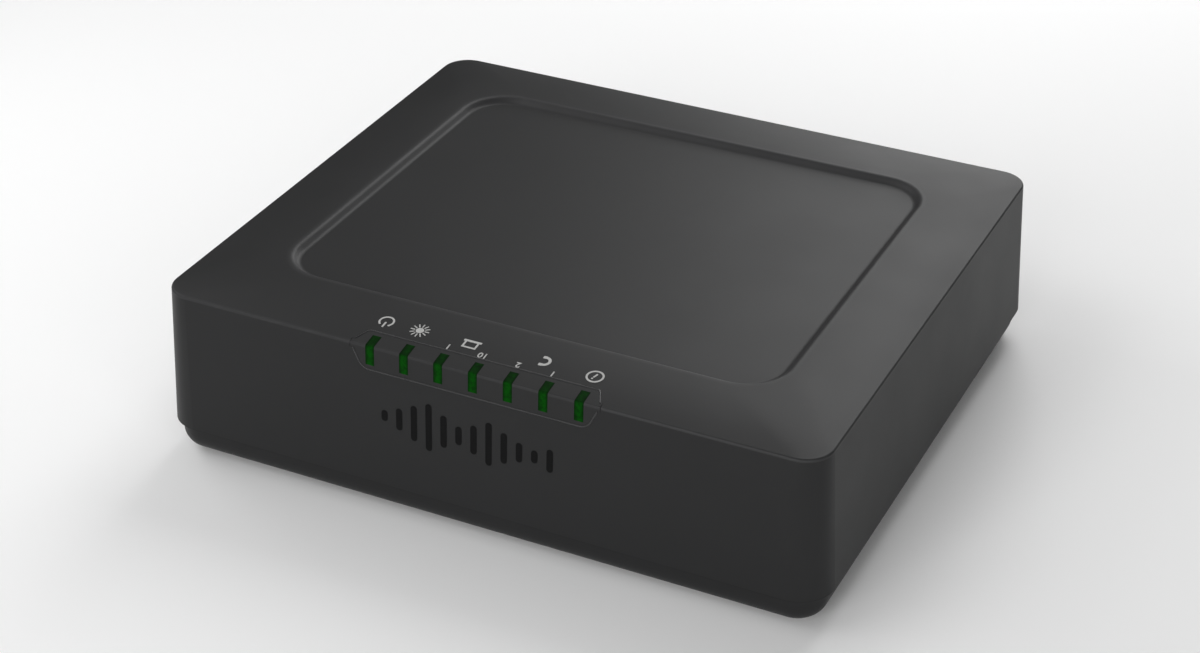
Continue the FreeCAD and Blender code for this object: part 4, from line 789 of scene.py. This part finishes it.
bars = []
first = -bar_pitch * (len(bar_heights) - 1) / 2
for number, height in enumerate(bar_heights):
    x = first + bar_pitch * number
    bars.append(strip(x, 0, bar_width, height * mm, round_off=bar_width * 0.49))
emblem = wall_mark("signal_emblem", bars, emblem_middle, (math.pi / 2, 0, 0), dark_ink)
print("emblem", round(emblem.dimensions.x / mm, 1), "by", round(emblem.dimensions.z / mm, 1), "mm")

# %% [markdown]
# ## Bead round the light strip
# The strip snaps into the cover, and a thin raised bead follows its border and
# catches the light; its colour is painted lighter than the case, a painted
# highlight line. It stops just short of the two tips. The bead's path is the
# strip's own outline, so a copy of the CAD strip is merged and all but the border
# edges of its outer skin are deleted. What is left becomes a curve with a round
# section, and the curve becomes a mesh.

# %% Bead from the strip's border
# Painted highlight: the bead's colour is lighter than the case so it reads as a light line.
bead_painted_highlight = plastic("bead_painted_highlight", (0.034, 0.034, 0.035), gloss=(0.26, 0.32), level=0.4)


def merged_copy(name, node):
    """Copy of a CAD solid with its triangles joined into one surface."""
    deselect_all()
    source = frame["nodes"][node]
    copy = source.copy()
    copy.data = source.data.copy()
    copy.name = name
    copy.data.name = name
    for key in list(copy.keys()):
        del copy[key]
    bpy.context.scene.collection.objects.link(copy)
    copy.parent = None
    copy.matrix_world = source.matrix_world
    copy.select_set(True)
    bpy.context.view_layer.objects.active = copy
    bpy.ops.object.mode_set(mode="EDIT")
    bpy.ops.mesh.select_all(action="SELECT")
    bpy.ops.mesh.remove_doubles(threshold=0.002 * mm)
    bpy.ops.object.mode_set(mode="OBJECT")
    return copy


def is_skin(face):
    """True for the strip's outer faces, on top, in front or on the round between."""
    upward = face.normal.z > 0.3 and face.calc_center_median().z > edge_level - 0.6 * mm
    return abs(face.normal.x) < 0.3 and (upward or face.normal.y < -0.3)


strip_low, strip_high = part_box("light_strip")
bead = merged_copy("strip_bead", "light_strip")
bpy.ops.object.mode_set(mode="EDIT")
shape = bmesh.from_edit_mesh(bead.data)
shape.normal_update()
bead_radius = 0.15 * mm
border_reach = 0.6 * mm
back_line = strip_high.y - border_reach
low_line = strip_low.z + border_reach
tip_line = strip_high.x - border_reach
end_line = window_pitch * 3 + window_half + border_reach
border = []
for edge in shape.edges:
    skins = [is_skin(face) for face in edge.link_faces]
    middle_point = (edge.verts[0].co + edge.verts[1].co) / 2
    sideways = abs(middle_point.x)
    outside = middle_point.y > back_line or middle_point.z < low_line or sideways > end_line
    divides = len(skins) == 2 and skins[0] != skins[1]
    if divides and outside and sideways < tip_line:
        border.append(edge)
bpy.ops.mesh.select_mode(type="EDGE")
bpy.ops.mesh.select_all(action="DESELECT")
for edge in border:
    edge.select_set(True)
bmesh.update_edit_mesh(bead.data)
bpy.ops.mesh.select_all(action="INVERT")
bpy.ops.mesh.delete(type="EDGE_FACE")
bpy.ops.mesh.select_all(action="SELECT")
bpy.ops.mesh.delete_loose(use_verts=True, use_edges=False, use_faces=False)
bpy.ops.object.mode_set(mode="OBJECT")
print("border edges", len(bead.data.edges))
bpy.ops.object.convert(target="CURVE")
bead = bpy.context.active_object
bead.data.bevel_depth = bead_radius
bead.data.bevel_resolution = 2
bead.data.use_fill_caps = True
bpy.ops.object.convert(target="MESH")
bead = take_active("strip_bead")
bead.data.materials.clear()
bead.data.materials.append(bead_painted_highlight)
bpy.ops.object.shade_smooth()
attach(bead, "case")

# %% [markdown]
# ## Softened mouldings
# Real mouldings and pressed sheet have no knife edges, and the thin light lines
# along their rounds are what makes them read as made things. These solids already
# have the right shape, so each is copied, its loose triangles are joined, and a
# bevel rounds every corner sharper than 40 degrees and leaves flat seams alone.

# %% Rounded copies of small solids
def softened(name, node, width, body="case"):
    """Copy of a CAD solid with rounded edges, standing for the solid."""
    piece = merged_copy(name, node)
    rounding = piece.modifiers.new("rounding", "BEVEL")
    rounding.width = width
    rounding.segments = 2
    rounding.limit_method = "ANGLE"
    rounding.angle_limit = math.radians(40)
    bpy.ops.object.modifier_apply(modifier=rounding.name)
    bpy.ops.object.shade_smooth_by_angle(angle=math.radians(18))
    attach(piece, body)
    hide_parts(node)
    print(name, len(piece.data.polygons), "faces")


for socket in ("phone_1", "phone_2", "lan", "fast_lan"):
    softened(socket + "_moulding", socket + "_body", 0.15 * mm)
for socket in ("lan", "fast_lan"):
    softened(socket + "_can", socket + "_shield", 0.09 * mm)
softened("adapter_moulding", "fibre_adapter", 0.2 * mm)
softened("power_moulding", "power_socket_body", 0.25 * mm)
softened("sleeve_tube", "ferrule_sleeve", 0.1 * mm)
softened("reset_plunger", "reset_button", 0.15 * mm, "reset_button")

# %% [markdown]
# ## Dust cap
# The cap closes the fibre socket until a line is plugged in. It is soft plastic
# with a flange and a finger grip. The copy is rounded well, and three ribs cross
# each side of the grip: one rib is shaped from a cube and copied.

# %% Dust cap and its ribs
softened("cap_moulding", "fibre_dust_cap", 0.32 * mm, "fibre_dust_cap")
cap_low, cap_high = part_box("fibre_dust_cap")
cap_middle = (cap_low + cap_high) / 2
grip_half = 1.2 * mm
rib_size = Vector((0.3 * mm, 1.2 * mm, 0.7 * mm))
rib_pitch = 2.2 * mm
rib_round = 0.12 * mm


def rounded_block(name, place, size, width):
    """Cube at its size and place with all its edges bevelled."""
    deselect_all()
    bpy.ops.mesh.primitive_cube_add(size=1.0, location=place)
    block = take_active(name)
    block.scale = size
    bpy.ops.object.transform_apply(location=True, rotation=True, scale=True)
    bpy.ops.object.mode_set(mode="EDIT")
    bpy.ops.mesh.select_all(action="SELECT")
    bpy.ops.mesh.bevel(offset=width, segments=3, affect="EDGES")
    bpy.ops.object.mode_set(mode="OBJECT")
    bpy.ops.object.shade_smooth_by_angle(angle=math.radians(35))
    return block


def copied(piece, name, step):
    """Copy with its own mesh, moved by a step."""
    deselect_all()
    piece.select_set(True)
    bpy.context.view_layer.objects.active = piece
    bpy.ops.object.duplicate(linked=False)
    copy = take_active(name)
    copy.location = step
    bpy.ops.object.transform_apply(location=True, rotation=True, scale=True)
    return copy


grip_y = cap_high.y - 1.05 * mm
rib_place = Vector((cap_middle.x + grip_half, grip_y, cap_middle.z))
first_rib = rounded_block("cap_rib_1", rib_place, rib_size, rib_round)
ribs = [first_rib]
steps = [(side, level) for side in (0, -2 * grip_half) for level in (0, rib_pitch, -rib_pitch)]
for number, (side, level) in enumerate(steps[1:], start=2):
    ribs.append(copied(first_rib, f"cap_rib_{number}", (side, 0, level)))
for rib in ribs:
    rib.data.materials.append(finishes["cap_plastic"])
    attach(rib, "fibre_dust_cap")
print(len(ribs), "ribs on the cap")

# %% [markdown]
# ## Rubber feet
# Each foot is a stamped disc with a rounded rim and a shallow ring pressed into its
# face so that it grips. A cylinder's lower face is inset and pushed up, and what is
# inside is inset again and pushed back down, which leaves the ring. The rims are
# bevelled. The other three feet are copies.

# %% Four feet
feet_low, feet_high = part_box("rubber_feet")
foot_radius = 5.0 * mm
foot_height = feet_high.z - feet_low.z
foot_centre = Vector((
    feet_high.x - foot_radius, feet_high.y - foot_radius, feet_low.z + foot_height / 2,
))
deselect_all()
bpy.ops.mesh.primitive_cylinder_add(
    vertices=64, radius=foot_radius, depth=foot_height, location=foot_centre,
)
foot = take_active("rubber_foot_1")
bpy.ops.object.transform_apply(location=True, rotation=True, scale=True)
bpy.ops.object.mode_set(mode="EDIT")
bpy.ops.mesh.select_mode(type="FACE")
groove_wall = 0.15 * mm
groove_steps = ((1.2 * mm, 0.35 * mm), (1.4 * mm, -0.30 * mm))
for inset, push in groove_steps:
    bpy.ops.mesh.select_all(action="DESELECT")
    shape = bmesh.from_edit_mesh(foot.data)
    under = [face for face in shape.faces if face.normal.z < -0.9]
    smallest = min(under, key=lambda face: face.calc_area() if len(face.verts) > 4 else 1.0)
    smallest.select_set(True)
    bmesh.update_edit_mesh(foot.data)
    bpy.ops.mesh.inset(thickness=inset, depth=0)
    bpy.ops.mesh.inset(thickness=groove_wall, depth=0)
    bpy.ops.transform.translate(value=(0, 0, push))
bpy.ops.object.mode_set(mode="OBJECT")
rim = foot.modifiers.new("rim", "BEVEL")
rim.width = 0.3 * mm
rim.segments = 3
rim.limit_method = "ANGLE"
rim.angle_limit = math.radians(50)
bpy.ops.object.modifier_apply(modifier=rim.name)
bpy.ops.object.shade_smooth_by_angle(angle=math.radians(40))
feet = [foot]
for number, (along, across) in enumerate(((-1, 0), (-1, -1), (0, -1)), start=2):
    step = (along * 2 * foot_centre.x, across * 2 * foot_centre.y, 0)
    feet.append(copied(foot, f"rubber_foot_{number}", step))
for foot in feet:
    foot.data.materials.clear()
    foot.data.materials.append(finishes["rubber"])
    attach(foot, "case")
    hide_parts("rubber_feet")
print("feet reach down to", round(min(vert.co.z for vert in feet[0].data.vertices) / mm, 3), "mm")

# %% [markdown]
# ## Symbols at the sockets
# The same symbols as on the rim stand over the sockets, on the rear wall, so a
# plug finds its place. They are drawn on the sheet, stood up, turned to face
# backwards, and pushed onto the leaning wall.

# %% Marks over the sockets
rear_mark_level = 30.0 * mm
rear_turn = (math.pi / 2, 0, math.pi)


def middle_of(node):
    """Middle of a solid across the case."""
    low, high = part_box(node)
    return (low.x + high.x) / 2


def rear_mark(name, x, pieces):
    """Mark on the rear wall above a socket."""
    wall_mark(name, pieces, (x, cover_high.y + 1 * mm, rear_mark_level), rear_turn, light_ink)


def reset_symbol(size):
    """Open ring with a barb at its end."""
    radius = size / 2 - stroke / 2
    return [
        arc(0, 0, radius, stroke, math.radians(60), math.radians(290)),
        strip(radius * 0.62, radius * 0.95, size * 0.34, stroke, 0.0, round_off=stroke * 0.3),
        strip(radius * 0.42, radius * 0.62, size * 0.30, stroke, math.pi / 2, round_off=stroke * 0.3),
    ]


def direct_current_symbol(size):
    """Solid line over a broken one."""
    dash = size / 4
    pieces = [strip(0, size * 0.14, size, stroke)]
    for number in (-1, 0, 1):
        pieces.append(strip(number * dash * 1.5, -size * 0.14, dash, stroke))
    return pieces


wall_digit_height = 2.0 * mm
rear_mark("reset_wall_mark", middle_of("reset_button"), reset_symbol(3.0 * mm))
for number in ("1", "2"):
    x = middle_of(f"phone_{number}_body")
    rear_mark(f"phone_wall_mark_{number}", x + 1.6 * mm, handset_symbol(3.4 * mm))
    rear_mark(f"line_wall_mark_{number}", x - 2.0 * mm, [digits(number, wall_digit_height)])
for speed, socket in (("10", "fast_lan_body"), ("1", "lan_body")):
    x = middle_of(socket)
    rear_mark(f"port_wall_mark_{speed}", x + 2.2 * mm, screen_symbol(4.2 * mm))
    rear_mark(f"speed_wall_mark_{speed}", x - 2.6 * mm, [digits(speed, wall_digit_height)])
rear_mark("fibre_wall_mark", middle_of("fibre_adapter"), sun_symbol(4.4 * mm))
rear_mark("supply_wall_mark", middle_of("power_socket_body"), direct_current_symbol(4.0 * mm))
rear_mark("switch_wall_mark", middle_of("power_button"), power_symbol(3.6 * mm))

# %% Mark on the button
button_low, button_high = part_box("power_button")
button_spot = (
    middle_of("power_button"), button_high.y + 0.5 * mm, (button_low.z + button_high.z) / 2,
)
wall_mark(
    "button_mark", power_symbol(3.0 * mm), button_spot, rear_turn, light_ink,
    frame["nodes"]["power_button"], "power_button",
)

# %% [markdown]
# ## Blank label
# The rating label under the case is left blank: a white film with rounded corners
# and a thin printed frame with empty rows. The film is a strip with rounded corners
# that is turned to face down and given its thickness.

# %% Label film and its frame
label_low, label_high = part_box("blank_label")
label_size = label_high - label_low
label_middle = (label_low + label_high) / 2
label_corner = 2.0 * mm
label_margin = 2.5 * mm
rule_width = 0.3 * mm
rule_film = 0.02 * mm


def laid_under(name, pieces, level, thickness, finish):
    """Turn a flat drawing to face down at a level and thicken it upwards."""
    mark = joined(name, pieces)
    moved(mark, (math.pi, 0, 0), (label_middle.x, label_middle.y, level + draw_level))
    film = mark.modifiers.new("film", "SOLIDIFY")
    film.thickness = thickness
    film.offset = -1.0
    bpy.ops.object.modifier_apply(modifier=film.name)
    mark.data.materials.clear()
    mark.data.materials.append(finish)
    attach(mark, "case")
    return mark


label = laid_under(
    "label_sheet", [strip(0, 0, label_size.x, label_size.y, round_off=label_corner)],
    label_low.z, label_size.z, finishes["label_film"],
)
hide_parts("blank_label")
frame_x = label_size.x - 2 * label_margin
frame_y = label_size.y - 2 * label_margin
outer_x = frame_x + rule_width
inner_x = frame_x - rule_width
inner_y = frame_y - rule_width
rules = [strip(0, side * frame_y / 2, outer_x, rule_width) for side in (1, -1)]
rules += [strip(side * frame_x / 2, 0, rule_width, inner_y) for side in (1, -1)]
rules += [strip(0, row * frame_y, inner_x, rule_width) for row in (0.25, 0.0, -0.25)]
laid_under("label_frame", rules, label_low.z - rule_film, rule_film, grey_ink)
